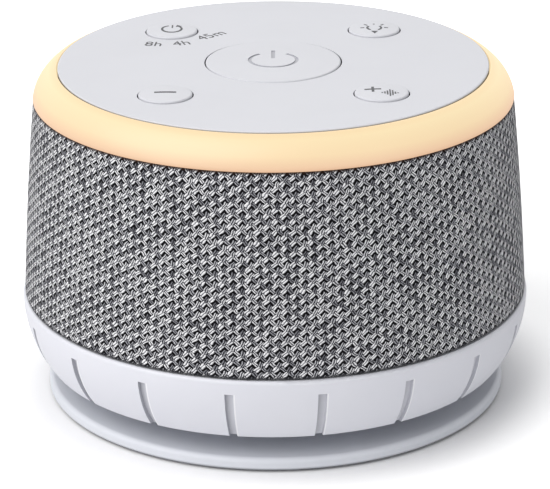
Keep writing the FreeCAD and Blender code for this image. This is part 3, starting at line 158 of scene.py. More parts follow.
caps = {"light": "D6D7DD", "dark": "D3D4DA", "roughness": 0.42, "grain": 0.3 * mm,
        "crown": 0.35 * mm, "powerRim": 17.9 * mm, "smallRim": 6.65 * mm}
# painted shade in the power symbol's hollow: where it starts and where it is full, in depth below the crown
powerSymbol = {"reach": 12.0 * mm, "starts": 0.06 * mm, "full": 0.2 * mm, "colour": "B4B5BC"}


def crownBend(rim):
    # radius of the sphere that a button's face is part of
    return (rim * rim + caps["crown"] * caps["crown"]) / (2 * caps["crown"])


def capPlastic(name):
    # satin ABS cap, a little smoother than the panel round it
    return gapPlastic(name, caps["light"], caps["dark"], caps["roughness"], caps["grain"])


def symbolPlastic(name, node):
    # the power symbol is sunk into the cap's crowned face, and its hollow gets painted grey shade that
    # deepens below the crown
    mat = capPlastic(name)
    tree = mat.node_tree
    place = addNode(tree, "TexCoord").outputs["Object"]
    x, y = middleOf(node)
    bend = crownBend(caps["powerRim"])
    centre = (x, y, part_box(node)[1][2] - bend)
    reach = addNode(tree, "VectorMath", {0: place, 1: centre}, operation="DISTANCE").outputs["Value"]
    depth = addNode(tree, "Math", {0: bend, 1: reach}, operation="SUBTRACT")
    flat = addNode(tree, "VectorMath", {0: place, 1: (1.0, 1.0, 0.0)}, operation="MULTIPLY")
    across = addNode(tree, "VectorMath", {0: flat, 1: (x, y, 0.0)}, operation="DISTANCE").outputs["Value"]
    inside = addNode(tree, "Math", {0: across, 1: powerSymbol["reach"]}, operation="LESS_THAN")
    sunk = addNode(tree, "MapRange", {"Value": depth, "From Min": powerSymbol["starts"],
                                      "From Max": powerSymbol["full"]})
    shadeMask = addNode(tree, "Math", {0: sunk, 1: inside}, operation="MULTIPLY")
    paintShading(tree, shadeMask, powerSymbol["colour"])
    return mat


groove = {  # angles are in degrees
    "count": 18, "first": 10.0, "width": 1.9, "top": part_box("tone_ring")[1][2] - 4.0 * mm,
    "slack": 0.04, "topSlack": 0.03 * mm, "darkest": 0.46, "lightest": 0.10, "colour": "5E6069",
    "highlight": 0.6, "highlightMiddle": 0.18, "highlightHalf": 0.16, "highlightColour": "FBFBFD",  # a painted highlight just past one wall of each groove
}


def ringAbs(name):
    # the ring's finger grooves get painted shade, darker towards one wall, and a painted highlight just past
    # the other wall
    mat = mouldedPlastic(name, "E1E2E9", "DEDFE7", 0.40, 0.4 * mm, 0.02 * mm)
    tree = mat.node_tree
    place = addNode(tree, "SeparateXYZ", {"Vector": addNode(tree, "TexCoord").outputs["Object"]})
    back = addNode(tree, "Math", {0: place.outputs["Y"], 1: -1.0}, operation="MULTIPLY")
    angle = addNode(tree, "Math", {0: place.outputs["X"], 1: back}, operation="ARCTAN2")
    pitch = 360 / groove["count"]
    turns = addNode(tree, "Math", {0: angle, 1: math.degrees(1) / pitch, 2: 0.5 - groove["first"] / pitch},
                    operation="MULTIPLY_ADD")
    part = addNode(tree, "Math", {0: turns}, operation="FRACT")
    # degrees round the ring from the middle of the nearest groove
    off = addNode(tree, "Math", {0: part, 1: pitch, 2: -0.5 * pitch}, operation="MULTIPLY_ADD")
    half = groove["width"] / 2
    inside = addNode(tree, "Math", {0: off, 1: 0.0, 2: half + groove["slack"]}, operation="COMPARE")
    under = addNode(tree, "Math", {0: place.outputs["Z"], 1: groove["top"] + groove["topSlack"]},
                    operation="LESS_THAN")
    shadeMask = addNode(tree, "Math", {0: inside, 1: under}, operation="MULTIPLY")
    shade = addNode(tree, "MapRange", {"Value": off, "From Min": -half, "From Max": half * 0.9,
                                       "To Min": groove["darkest"], "To Max": groove["lightest"]})
    shade = addNode(tree, "Math", {0: shade, 1: shadeMask}, operation="MULTIPLY")
    paintShading(tree, shade, groove["colour"])
    # painted highlight: a thin lighter strip on the face just past the groove's lighter wall
    edge = addNode(tree, "Math", {0: off, 1: half + groove["highlightMiddle"], 2: groove["highlightHalf"]},
                   operation="COMPARE")
    edge = addNode(tree, "Math", {0: edge, 1: under}, operation="MULTIPLY")
    edge = addNode(tree, "Math", {0: edge, 1: groove["highlight"]}, operation="MULTIPLY")
    paintShading(tree, edge, groove["highlightColour"])
    return mat


footContactShadow = {"starts": 0.9 * mm, "full": 0.2 * mm, "most": 0.7, "colour": "63656C"}  # heights on the foot


def footAbs(name):
    # the foot's lowest edge gets a painted contact shadow, darker towards the table
    mat = mouldedPlastic(name, "D9DCE3", "D6D9E0", 0.42, 0.4 * mm, 0.02 * mm)
    tree = mat.node_tree
    place = addNode(tree, "TexCoord").outputs["Object"]
    height = addNode(tree, "SeparateXYZ", {"Vector": place}).outputs["Z"]
    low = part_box("foot_base")[0][2]
    contactShadow = addNode(tree, "MapRange", {"Value": height, "From Min": low + footContactShadow["starts"],
                                       "From Max": low + footContactShadow["full"], "To Max": footContactShadow["most"]})
    paintShading(tree, contactShadow, footContactShadow["colour"])
    return mat


metalStain = 220.0  # cells of uneven colour to a metre of metal, 4.5 mm each


def turnedMetal(name, light, dark, roughness, metallic=1.0, lineScale=900.0):
    # metal turned or drawn in the factory, with faint machining lines round the upright axis
    # a wave texture's lines are pi / 10 / scale apart, which is 0.35 mm at a scale of 900
    mat, tree, shader = newMaterial(name)
    place = addNode(tree, "TexCoord").outputs["Object"]
    lines = addNode(tree, "TexWave", {"Vector": place, "Scale": lineScale, "Distortion": 2.0, "Detail": 2.0},
                    wave_type="BANDS", bands_direction="Z")
    stain = addNode(tree, "TexNoise", {"Vector": place, "Scale": metalStain, "Detail": 4.0})
    colour = addNode(tree, "ValToRGB", {"Fac": stain}, stops=[(0.3, dark), (0.7, light)])
    shine = addNode(tree, "Math", {0: lines.outputs["Fac"], 1: 0.12, 2: roughness}, operation="MULTIPLY_ADD")
    bump = addNode(tree, "Bump", {"Strength": 0.2, "Distance": 0.03 * mm, "Height": lines.outputs["Fac"]})
    plugIn(tree, shader, {"Base Color": colour, "Roughness": shine, "Normal": bump, "Metallic": metallic})
    return mat


boardCells = {"tracks": 260.0, "pads": 330.0}  # cells to a metre, 3.85 mm and 3 mm each


def circuitBoard(name):
    # glass-epoxy board: green solder mask over copper tracks, with tinned pads
    mat, tree, shader = newMaterial(name)
    place = addNode(tree, "TexCoord").outputs["Object"]
    tracks = addNode(tree, "TexBrick", {"Vector": place, "Scale": boardCells["tracks"], "Mortar Size": 0.045,
                                        "Brick Width": 1.6, "Row Height": 0.5}).outputs["Fac"]
    pads = addNode(tree, "TexVoronoi", {"Vector": place, "Scale": boardCells["pads"]}).outputs["Distance"]
    isPad = addNode(tree, "Math", {0: pads, 1: 0.16}, operation="LESS_THAN")
    mask = addNode(tree, "ValToRGB", {"Fac": tracks}, stops=[(0.0, "0B3A20"), (1.0, "1D6A3C")])
    mix = addNode(tree, "Mix", {"Factor": isPad, 6: mask, 7: srgb("B9B7AE")}, data_type="RGBA")
    bump = addNode(tree, "Bump", {"Strength": 0.3, "Distance": 0.04 * mm, "Height": tracks})
    plugIn(tree, shader, {"Base Color": mix.outputs[2], "Metallic": isPad, "Normal": bump, "Roughness": 0.32})
    return mat


panelPlastic = gapPlastic("panel_abs", "D7D8DE", "D4D5DB", 0.46, 0.35 * mm)
whitePlastic = mouldedPlastic("white_acetal", "E6E6E2", "DEDEDA", 0.38, 0.4 * mm, 0.02 * mm)
darkPlastic = mouldedPlastic("dark_housing_abs", "3A3A3D", "303033", 0.5, 0.5 * mm, 0.04 * mm)
blackPlastic = mouldedPlastic("black_nylon", "1B1B1C", "131314", 0.45, 0.3 * mm, 0.03 * mm)
padRubber = mouldedPlastic("foot_rubber", "2A2A2C", "1D1D1F", 0.8, 0.6 * mm, 0.06 * mm)
leadRubber = mouldedPlastic("lead_pvc", "1F1F20", "161617", 0.5, 0.5 * mm, 0.03 * mm)
screwSteel = turnedMetal("zinc_plated_screw_steel", "C9C8C4", "A9A8A4", 0.28)
motorSteel = turnedMetal("motor_steel", "A7A9AC", "85878A", 0.34)
bracketAluminium = turnedMetal("pressed_aluminium", "C8CACC", "AEB1B4", 0.36, lineScale=300.0)
bearingBronze = turnedMetal("sintered_bronze", "A97F4B", "7E5A30", 0.45)
copperWire = turnedMetal("enamelled_copper_wire", "C46A2F", "8F4318", 0.25, lineScale=1400.0)
magnetFerrite = turnedMetal("ferrite_magnet", "3A3836", "2B2A28", 0.6, 0.2)
greenBoard = circuitBoard("circuit_board_mask")

setCadMaterial(["top_panel"], panelPlastic)
setCadMaterial(["power_button"], symbolPlastic("power_cap_abs", "power_button"))
for label in ("timer", "light", "minus", "plus"):
    setCadMaterial([label + "_button"], capPlastic(label + "_cap_abs"))
setCadMaterial(["tone_ring"], ringAbs("turning_ring_abs"))
setCadMaterial(["foot_base"], footAbs("foot_abs"))
setCadMaterial(["top_frame", "glide_washer", "power_plunger", "timer_plunger", "light_plunger",
                "minus_plunger", "plus_plunger"], whitePlastic)
setCadMaterial(["lower_housing", "grille_frame", "impeller", "fan_shroud"], darkPlastic)
setCadMaterial(["dc_socket", "board_chips", "tact_switches"], blackPlastic)
setCadMaterial(["foot_ring", "motor_grommets"], padRubber)
setCadMaterial(["power_lead", "fan_lead"], leadRubber)
setCadMaterial(["foot_screws", "cage_screws", "frame_screws", "board_screws", "bracket_screws",
                "shroud_screws"], screwSteel)
setCadMaterial(["stator_core", "motor_shaft", "shaft_clip", "rotor_cup"], motorSteel)
setCadMaterial(["motor_bracket"], bracketAluminium)
setCadMaterial(["lower_bearing", "upper_bearing"], bearingBronze)
setCadMaterial(["stator_coils"], copperWire)
setCadMaterial(["rotor_magnet"], magnetFerrite)
setCadMaterial(["control_board", "light_board", "motor_board"], greenBoard)
print("plastics, metals and boards done")


# light ring: a milky moulding that rounds over from the cloth to the panel, lit from below, its glow painted
# on as emission

lightLow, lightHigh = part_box("light_ring")
lightRing = {
    "footRadius": 65.6 * mm,
    "bend": 11.0 * mm,  # radius of its swell
    "low": lightLow[2],
    "high": lightHigh[2],
    "innerRadius": 58.9 * mm,
    "shelf": panelTop - 2.4 * mm,  # the panel lies on it
    "throat": 2.8 * mm,  # from its inner edge out to the hollow behind the swell
    "legRadius": 52.0 * mm,
    "wall": 2.0 * mm,
    "lip": 0.2 * mm,  # rounding of its edges
    "sharp": 0.6,  # edges that turn by more than this, in radians, are rounded
    "glow": 1.0,
    "drift": 0.05,  # share by which the glow wanders
    "driftScale": 30.0,  # cells of it to a metre, 33 mm each
    "arcSteps": 16,
    "around": 256,
}


def opalDiffuser(name):
    # opal polycarbonate: the warm glow of the lamps behind it is painted on as emission, deeper and pinker
    # where it is furthest from them
    mat, tree, shader = newMaterial(name)
    place = addNode(tree, "TexCoord").outputs["Object"]
    height = addNode(tree, "SeparateXYZ", {"Vector": place}).outputs["Z"]
    rise = addNode(tree, "MapRange", {"Value": height, "From Min": lightRing["low"],
                                      "From Max": lightRing["high"]})
    colour = addNode(tree, "ValToRGB", {"Fac": rise}, stops=[
        (0.0, "C99E7C"), (0.12, "D4AF8C"), (0.45, "DDC499"), (0.85, "E0CC9F"), (1.0, "DCC293")])
    cloud = addNode(tree, "TexNoise", {"Vector": place, "Scale": lightRing["driftScale"], "Detail": 1.0})
    least = lightRing["glow"] - lightRing["drift"] / 2
    power = addNode(tree, "Math", {0: cloud, 1: lightRing["drift"], 2: least}, operation="MULTIPLY_ADD")
    plugIn(tree, shader, {"Emission Color": colour, "Emission Strength": power, "Base Color": srgb("7A6C5C"),
                          "Roughness": 0.42, "IOR": 1.58})
    return mat


def buildLightRing():
    # one closed outline, spun once round the upright axis
    foot, inner = lightRing["footRadius"], lightRing["innerRadius"]
    low, high, bend, lip = lightRing["low"], lightRing["high"], lightRing["bend"], lightRing["lip"]
    bm = bmesh.new()
    # the swell is one arc through both edges
    chord = Vector((inner - foot, high - low))
    middle = Vector((foot, low)) + chord / 2
    away = Vector((-chord.y, chord.x)).normalized()
    centre = middle + away * math.sqrt(bend * bend - chord.length_squared / 4)
    start = math.atan2(low - centre.y, foot - centre.x)
    end = math.atan2(high - centre.y, inner - centre.x)
    outline = []
    for k in range(lightRing["arcSteps"] + 1):
        turn = start + (end - start) * k / lightRing["arcSteps"]
        outline.append((centre.x + math.cos(turn) * bend, centre.y + math.sin(turn) * bend))
    # inside it carries the panel's rim and stands on the tray's ledge, round the lamps
    shelf, wall, leg = lightRing["shelf"], lightRing["wall"], lightRing["legRadius"]
    outline += [(inner, shelf), (leg, shelf), (leg, low), (leg + wall, low), (leg + wall, shelf - wall),
                (inner + lightRing["throat"], shelf - wall), (foot - wall, low)]
    ring = [bm.verts.new((r, 0, z)) for r, z in outline]
    edges = [bm.edges.new((ring[k], ring[(k + 1) % len(ring)])) for k in range(len(ring))]
    bmesh.ops.spin(bm, geom=ring + edges, cent=(0, 0, 0), axis=(0, 0, 1), angle=2 * math.pi,
                   steps=lightRing["around"], use_merge=True)
    bmesh.ops.remove_doubles(bm, verts=bm.verts, dist=0.005 * mm)
    bmesh.ops.recalc_face_normals(bm, faces=bm.faces)
    sharp = [e for e in bm.edges if len(e.link_faces) == 2 and e.calc_face_angle() > lightRing["sharp"]]
    bmesh.ops.bevel(bm, geom=sharp, offset=lip, segments=2, profile=0.5, affect="EDGES", material=-1)
    for face in bm.faces:
        face.smooth = True
    piece = newPiece("light_ring_glow", bm, opalDiffuser("opal_polycarbonate"), "housing")
    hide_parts("light_ring")


def lampFace(name):
    # warm white lamp: a yellow phosphor gel over the chip
    mat, tree, shader = newMaterial(name)
    place = addNode(tree, "TexCoord").outputs["Object"]
    phosphor = addNode(tree, "TexNoise", {"Vector": place, "Scale": 1 / (0.25 * mm), "Detail": 2.0})
    colour = addNode(tree, "ValToRGB", {"Fac": phosphor}, stops=[(0.3, "E8B94A"), (0.7, "F6D77A")])
    plugIn(tree, shader, {"Base Color": colour, "Emission Color": colour, "Emission Strength": 1.5})
    return mat


buildLightRing()
setCadMaterial(["light_leds", "timer_leds"], lampFace("led_phosphor"))
print("light ring done")


# cloth body: a woven sleeve stretched over the cage, hemmed at both edges

sleeve = {
    "lowRadius": 69.65 * mm,
    "highRadius": 65.45 * mm,
    "swell": 0.38 * mm,
    "low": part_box("fabric_sleeve")[0][2],
    "high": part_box("fabric_sleeve")[1][2],
    "thickness": 0.9 * mm,
    "hem": 0.42 * mm,
    "hemSteps": 6,
    "around": 400,
    "rows": 34,
    "innerRows": 10,
    "ripple": 0.05 * mm,
    "rippleSize": 6.25 * mm,
    "motifs": 92,  # repeats of the weave round the drum, 4.75 mm each
    "rowPitch": 1.415 * mm,
}

weave = {
    "repeat": (4.75, 2.83),  # one repeat of the pattern round the drum and up it, in millimetres
    "plies": 2,  # strands side by side in a yarn
    "wander": (0.22, 0.30),  # how far the yarns stray, in repeats and rows
    "wanderScale": 0.9,  # cells of noise to a repeat
    "hairScale": 7.0,
    "fuzz": 0.26,
    "cover": (0.04, 0.62),  # heights at which a yarn begins to show and shows fully
    "depth": 0.45 * mm,
    # painted shade at the cloth's top and low edges: where it starts and where it is full, in distance from
    # each edge
    "topHemShade": {"starts": 0.55 * mm, "full": 0.2 * mm, "most": 0.85, "colour": "2A1A12"},
    "lowHemShade": {"starts": 0.9 * mm, "full": 0.4 * mm, "most": 0.8, "colour": "2B2C31"},
}

# the yarns of one repeat: middle, half length and half width in millimetres, slant in degrees, how light
# they are, how much that varies, and how deep the furrow between their strands is, in height and in painted
# shade
yarns = [
    {"at": (0.00, 0.00), "half": (0.94, 0.70), "slant": 43.0, "tone": 1.06, "spread": 0.36, "furrow": 0.30},
    {"at": (1.78, 0.04), "half": (0.90, 0.58), "slant": -45.0, "tone": 0.66, "spread": 0.50, "furrow": 0.34},
    {"at": (3.26, -0.10), "half": (0.92, 0.62), "slant": 60.0, "tone": 0.58, "spread": 0.50, "furrow": 0.36},
]


def wovenCloth(name):
    # woven marled polyester: thick light yarns lie at a slant in staggered rows, with black between them,
    # and it's matt with loose hairs; each yarn is a rounded box, and the highest one at a place shows
    mat, tree, shader = newMaterial(name)
    repeatX, repeatY = weave["repeat"]
    flat = addNode(tree, "UVMap", uv_map="weave")
    wander = addNode(tree, "TexNoise", {"Vector": flat, "Scale": weave["wanderScale"], "Detail": 2.0},
                     noise_dimensions="2D")
    wander = addNode(tree, "VectorMath", {0: wander.outputs["Color"], 1: (0.5, 0.5, 0.5)},
                     operation="SUBTRACT")
    wander = addNode(tree, "VectorMath", {0: wander, 1: weave["wander"] + (0.0,)}, operation="MULTIPLY")
    bent = addNode(tree, "VectorMath", {0: flat, 1: wander}, operation="ADD")
    tile = addNode(tree, "VectorMath", {0: bent, 1: (1.0, 0.5, 0.0)}, operation="MULTIPLY")
    best, tone = 0.0, 0.0
    for row in (0, 1):
        for number, yarn in enumerate(yarns):
            start = (yarn["at"][0] / repeatX + row / 2, yarn["at"][1] / repeatY + row / 2, 0.0)
            moved = addNode(tree, "VectorMath", {0: tile, 1: [0.5 - s for s in start]}, operation="ADD")
            which = addNode(tree, "VectorMath", {0: moved}, operation="FLOOR")
            inside = addNode(tree, "VectorMath", {0: moved, 1: which}, operation="SUBTRACT")
            inside = addNode(tree, "VectorMath", {0: inside, 1: (0.5, 0.5, 0.0)}, operation="SUBTRACT")
            chance = addNode(tree, "VectorMath", {0: which, 1: (7.0 * number + 0.5, 31.0 * row + 0.5, 0.0)},
                             operation="ADD")
            chance = addNode(tree, "TexWhiteNoise", {"Vector": chance}, noise_dimensions="2D")
            chance = chance.outputs["Value"]
            turn = math.radians(yarn["slant"])
            long, wide = yarn["half"]
            alongWay = (math.cos(turn) * repeatX / long, math.sin(turn) * repeatY / long, 0.0)
            acrossWay = (-math.sin(turn) * repeatX / wide, math.cos(turn) * repeatY / wide, 0.0)
            along = addNode(tree, "VectorMath", {0: inside, 1: alongWay}, operation="DOT_PRODUCT")
            along = along.outputs["Value"]
            across = addNode(tree, "VectorMath", {0: inside, 1: acrossWay}, operation="DOT_PRODUCT")
            across = across.outputs["Value"]
            end = addNode(tree, "Math", {0: along, 1: 4.0}, operation="POWER")
            side = addNode(tree, "Math", {0: across, 1: 4.0}, operation="POWER")
            height = addNode(tree, "Math", {0: end, 1: side}, operation="ADD")
            height = addNode(tree, "Math", {0: 1.0, 1: height}, operation="SUBTRACT")
            height = addNode(tree, "Math", {0: height, 1: 0.0}, operation="MAXIMUM")
            strand = addNode(tree, "Math", {0: across, 1: weave["plies"] * math.pi}, operation="MULTIPLY")
            strand = addNode(tree, "Math", {0: strand}, operation="COSINE")
            furrow = yarn["furrow"]
            ply = addNode(tree, "Math", {0: strand, 1: -furrow, 2: 1 - furrow}, operation="MULTIPLY_ADD")
            rise = addNode(tree, "Math", {0: height, 1: ply}, operation="MULTIPLY")
            darkest = yarn["tone"] - yarn["spread"] / 2
            shade = addNode(tree, "Math", {0: chance, 1: yarn["spread"], 2: darkest},
                            operation="MULTIPLY_ADD")
            # painted shade: the furrow between the strands darkens the yarn's colour as well as its height
            shade = addNode(tree, "Math", {0: shade, 1: ply}, operation="MULTIPLY")
            isTop = addNode(tree, "Math", {0: rise, 1: best}, operation="GREATER_THAN")
            tone = addNode(tree, "Mix", {"Factor": isTop, 2: tone, 3: shade}, data_type="FLOAT")
            best = addNode(tree, "Math", {0: rise, 1: best}, operation="MAXIMUM")
    hair = addNode(tree, "TexNoise", {"Vector": flat, "Scale": weave["hairScale"], "Detail": 3.0},
                   noise_dimensions="2D")
    fuzz = addNode(tree, "Math", {0: hair, 1: weave["fuzz"], 2: -weave["fuzz"] / 2}, operation="MULTIPLY_ADD")
    # painted shade: a yarn's colour darkens down its flanks as its height falls, and is black where no yarn
    # shows
    cover = addNode(tree, "MapRange", {"Value": best, "From Min": weave["cover"][0],
                                       "From Max": weave["cover"][1]})
    lit = addNode(tree, "Math", {0: tone, 1: fuzz}, operation="ADD")
    lit = addNode(tree, "Math", {0: lit, 1: cover}, operation="MULTIPLY")
    colour = addNode(tree, "ValToRGB", {"Fac": lit}, stops=[
        (0.0, "050507"), (0.25, "505058"), (0.5, "B4B5BB"), (0.8, "FCFCFE")])
    bump = addNode(tree, "Bump", {"Strength": 0.9, "Distance": weave["depth"], "Height": best})
    plugIn(tree, shader, {"Base Color": colour, "Normal": bump, "Roughness": 0.85, "Sheen Weight": 0.02,
                          "Specular IOR Level": 0.1})
    # both edges tuck in and get painted shade there; at the top, under the light ring, the painted shade is a
    # little brown like its glow
    place = addNode(tree, "TexCoord").outputs["Object"]
    height = addNode(tree, "SeparateXYZ", {"Vector": place}).outputs["Z"]
    for hemShade, edge, side in ((weave["topHemShade"], sleeve["high"], -1), (weave["lowHemShade"], sleeve["low"], 1)):
        amount = addNode(tree, "MapRange", {"Value": height, "From Min": edge + side * hemShade["starts"],
                                            "From Max": edge + side * hemShade["full"], "To Max": hemShade["most"]})
        paintShading(tree, amount, hemShade["colour"])
    return mat


def sleeveRadius(height):
    # a straight taper with a slight swell at mid height
    t = (height - sleeve["low"]) / (sleeve["high"] - sleeve["low"])
    straight = sleeve["lowRadius"] + (sleeve["highRadius"] - sleeve["lowRadius"]) * t
    return straight + sleeve["swell"] * 4 * t * (1 - t)


def buildSleeve():
    bm = bmesh.new()
    low, high, wall, hem = sleeve["low"], sleeve["high"], sleeve["thickness"], sleeve["hem"]
    inner, folds = sleeve["innerRows"], sleeve["hemSteps"]
    # up the outside, over the top hem, down the inside and under the low hem
    outline = []
    for k in range(sleeve["rows"] + 1):
        z = low + hem + (high - low - 2 * hem) * k / sleeve["rows"]
        outline.append((sleeveRadius(z), z))
    for k in range(1, folds):
        turn = math.pi * k / folds
        r = sleeveRadius(high) - wall / 2 + math.cos(turn) * wall / 2
        outline.append((r, high - hem + math.sin(turn) * hem))
    for k in range(inner + 1):
        z = high - hem - (high - low - 2 * hem) * k / inner
        outline.append((sleeveRadius(z) - wall, z))
    for k in range(1, folds):
        turn = math.pi * k / folds
        r = sleeveRadius(low) - wall / 2 - math.cos(turn) * wall / 2
        outline.append((r, low + hem - math.sin(turn) * hem))
    ring = [bm.verts.new((0, r, z)) for r, z in outline]
    edges = [bm.edges.new((ring[k], ring[(k + 1) % len(ring)])) for k in range(len(ring))]
    bmesh.ops.spin(bm, geom=ring + edges, cent=(0, 0, 0), axis=(0, 0, 1), angle=2 * math.pi,
                   steps=sleeve["around"], use_merge=True)
    bmesh.ops.remove_doubles(bm, verts=bm.verts, dist=0.01 * mm)
    bmesh.ops.recalc_face_normals(bm, faces=bm.faces)

    # flat coordinates: repeats round the drum and rows of weave up the cloth, joined at the back
    flatMap = bm.loops.layers.uv.new("weave")
    slope = (sleeve["lowRadius"] - sleeve["highRadius"]) / (high - low)
    stretch = math.sqrt(1 + slope * slope)
    for face in bm.faces:
        middle = face.calc_center_median()
        facing = math.atan2(middle.x, -middle.y)
        for loop in face.loops:
            co = loop.vert.co
            angle = math.atan2(co.x, -co.y)
            if angle - facing > math.pi:
                angle -= 2 * math.pi
            if facing - angle > math.pi:
                angle += 2 * math.pi
            across = angle / (2 * math.pi) * sleeve["motifs"]
            loop[flatMap].uv = (across, (co.z - low) * stretch / sleeve["rowPitch"])
        face.smooth = True

    # the cloth is pulled tight, so it only ripples a little
    for vert in bm.verts:
        out = Vector((vert.co.x, vert.co.y, 0)).normalized()
        vert.co += out * (noise.noise(vert.co / sleeve["rippleSize"]) * sleeve["ripple"])

    cloth = newPiece("sleeve_cloth", bm, wovenCloth("marled_polyester_weave"), "housing")
    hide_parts("fabric_sleeve")


buildSleeve()
print("cloth done")


# printed marks on the panel and the buttons

ink = {"light": "3C3D42", "dark": "303136", "grain": 0.2 * mm, "thickness": 0.035 * mm,
       "barStep": 0.5 * mm, "arcStep": 6.0, "textHeight": 3.8 * mm}


def padPrint(name):
    # pad printed ink: a thin matt film with a slightly uneven edge
    mat, tree, shader = newMaterial(name)
    place = addNode(tree, "TexCoord").outputs["Object"]
    grain = addNode(tree, "TexNoise", {"Vector": place, "Scale": 1 / ink["grain"], "Detail": 2.0})
    colour = addNode(tree, "ValToRGB", {"Fac": grain}, stops=[(0.3, ink["dark"]), (0.7, ink["light"])])
    plugIn(tree, shader, {"Base Color": colour, "Roughness": 0.5})
    return mat


printInk = padPrint("pad_print_ink")


def addBar(bm, start, end, width):
    # a flat stroke, in millimetres, cut into short pieces so that it can follow a crowned face
    start, end = Vector(start + (0,)) * mm, Vector(end + (0,)) * mm
    along = end - start
    turn = Matrix.Rotation(math.atan2(along.y, along.x), 4, "Z")
    size = Matrix.Diagonal((along.length / 2, width * mm / 2, 1, 1))
    pieces = max(2, round(along.length / ink["barStep"]))
    bmesh.ops.create_grid(bm, x_segments=pieces, y_segments=1, size=1.0,
                          matrix=Matrix.Translation((start + end) / 2) @ turn @ size)


def addArc(bm, centre, radius, start, end, width):
    # a flat arc, in millimetres and degrees
    x, y = centre
    turn = math.radians(start)
    way = Vector((math.cos(turn), math.sin(turn), 0))
    middle = Vector((x, y, 0)) * mm
    inner = bm.verts.new(middle + way * (radius - width / 2) * mm)
    outer = bm.verts.new(middle + way * (radius + width / 2) * mm)
    bmesh.ops.spin(bm, geom=[inner, outer, bm.edges.new((inner, outer))], cent=middle, axis=(0, 0, 1),
                   angle=math.radians(end - start), steps=max(8, round(abs(end - start) / ink["arcStep"])))


def addArrow(bm, x, y, reach, turn):
    # a filled triangle, its middle and reach in millimetres and its turn in radians
    place = Matrix.Translation((x * mm, y * mm, 0)) @ Matrix.Rotation(turn, 4, "Z")
    bmesh.ops.create_circle(bm, cap_ends=True, segments=3, radius=reach * mm, matrix=place)


def finishMark(name, bm, body, surface, centre):
    # presses a flat mark onto its surface and gives it the thickness of a print
    for vert in bm.verts:
        vert.co.z = surface(math.hypot(vert.co.x, vert.co.y)) + ink["thickness"]
        vert.co.x += centre[0]
        vert.co.y += centre[1]
    bmesh.ops.recalc_face_normals(bm, faces=bm.faces)
    down = [f for f in bm.faces if f.normal.z < 0]
    bmesh.ops.reverse_faces(bm, faces=down)
    skin = bmesh.ops.extrude_face_region(bm, geom=bm.faces[:])
    lowered = [item for item in skin["geom"] if isinstance(item, bmesh.types.BMVert)]
    bmesh.ops.translate(bm, verts=lowered, vec=(0, 0, -2 * ink["thickness"]))
    bmesh.ops.recalc_face_normals(bm, faces=bm.faces)
    newPiece(name, bm, printInk, body)


def crownOf(node):
    # height of a small button's crowned face at a distance from its middle
    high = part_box(node)[1][2]
    bend = crownBend(caps["smallRim"])
    return lambda r: high - bend + math.sqrt(max(bend * bend - r * r, 0))


# sizes of the marks are in millimetres, angles in degrees
timerMark = {"radius": 2.75, "sweep": (110, 402), "line": 0.62, "tick": ((0.1, 0.6), (0.1, 3.3)),
             "tickLine": 0.4, "arrow": (1.75, 2.4, 1.1, 0.35), "stretch": 1.14}
bm = bmesh.new()
addArc(bm, (0, 0), timerMark["radius"], *timerMark["sweep"], timerMark["line"])
addBar(bm, *timerMark["tick"], timerMark["tickLine"])
addArrow(bm, *timerMark["arrow"])
bmesh.ops.scale(bm, verts=bm.verts, vec=(1, timerMark["stretch"], 1))
finishMark("timer_mark", bm, "timer_control", crownOf("timer_button"), middleOf("timer_button"))

lightMark = {
    "middle": (0, 0.75), "bulb": 1.95, "sides": ((140, 238), (40, -58)), "line": 0.62,
    "foot": (0, -2.35, 1.15, math.pi),  # the triangle under the bulb
    "rays": (((0, 3.5), (0, 4.2)), ((-1.9, 2.75), (-2.7, 3.8)), ((1.9, 2.75), (2.7, 3.8)),
             ((-2.75, 0.85), (-3.9, 0.85)), ((2.75, 0.85), (3.9, 0.85))),
    "rayLine": 0.5, "stretch": 1.15, "drop": -1.3,
}
bm = bmesh.new()
for start, end in lightMark["sides"]:
    addArc(bm, lightMark["middle"], lightMark["bulb"], start, end, lightMark["line"])
addArrow(bm, *lightMark["foot"])
for start, end in lightMark["rays"]:
    addBar(bm, start, end, lightMark["rayLine"])
bmesh.ops.scale(bm, verts=bm.verts, vec=(1, lightMark["stretch"], 1))
bmesh.ops.translate(bm, verts=bm.verts, vec=(0, lightMark["drop"] * mm, 0))
finishMark("light_mark", bm, "light_control", crownOf("light_button"), middleOf("light_button"))

minusMark = {"reach": 2.9, "line": 1.05}
bm = bmesh.new()
addBar(bm, (-minusMark["reach"], 0.0), (minusMark["reach"], 0.0), minusMark["line"])
finishMark("minus_mark", bm, "minus_control", crownOf("minus_button"), middleOf("minus_button"))

plusMark = {
    "x": -2.3, "y": 1.3, "reach": 2.2, "flatLine": 0.9, "line": 0.7,
    "waveX": 2.15, "waveY": -1.7, "pitch": 0.69, "waveLine": 0.4,
    "wave": (0.25, 0.75, 1.5, 2.6, 1.9, 0.8, 0.3),  # half heights of the sound wave's bars
}
bm = bmesh.new()
x, y, reach, half = plusMark["x"], plusMark["y"], plusMark["reach"], plusMark["line"] / 2
addBar(bm, (x - reach, y), (x - half, y), plusMark["flatLine"])
addBar(bm, (x + half, y), (x + reach, y), plusMark["flatLine"])
addBar(bm, (x, y - reach), (x, y + reach), plusMark["line"])
for number, tall in enumerate(plusMark["wave"]):
    barX = plusMark["waveX"] + (number - len(plusMark["wave"]) // 2) * plusMark["pitch"]
    addBar(bm, (barX, plusMark["waveY"] - tall), (barX, plusMark["waveY"] + tall), plusMark["waveLine"])
finishMark("plus_mark", bm, "plus_control", crownOf("plus_button"), middleOf("plus_button"))

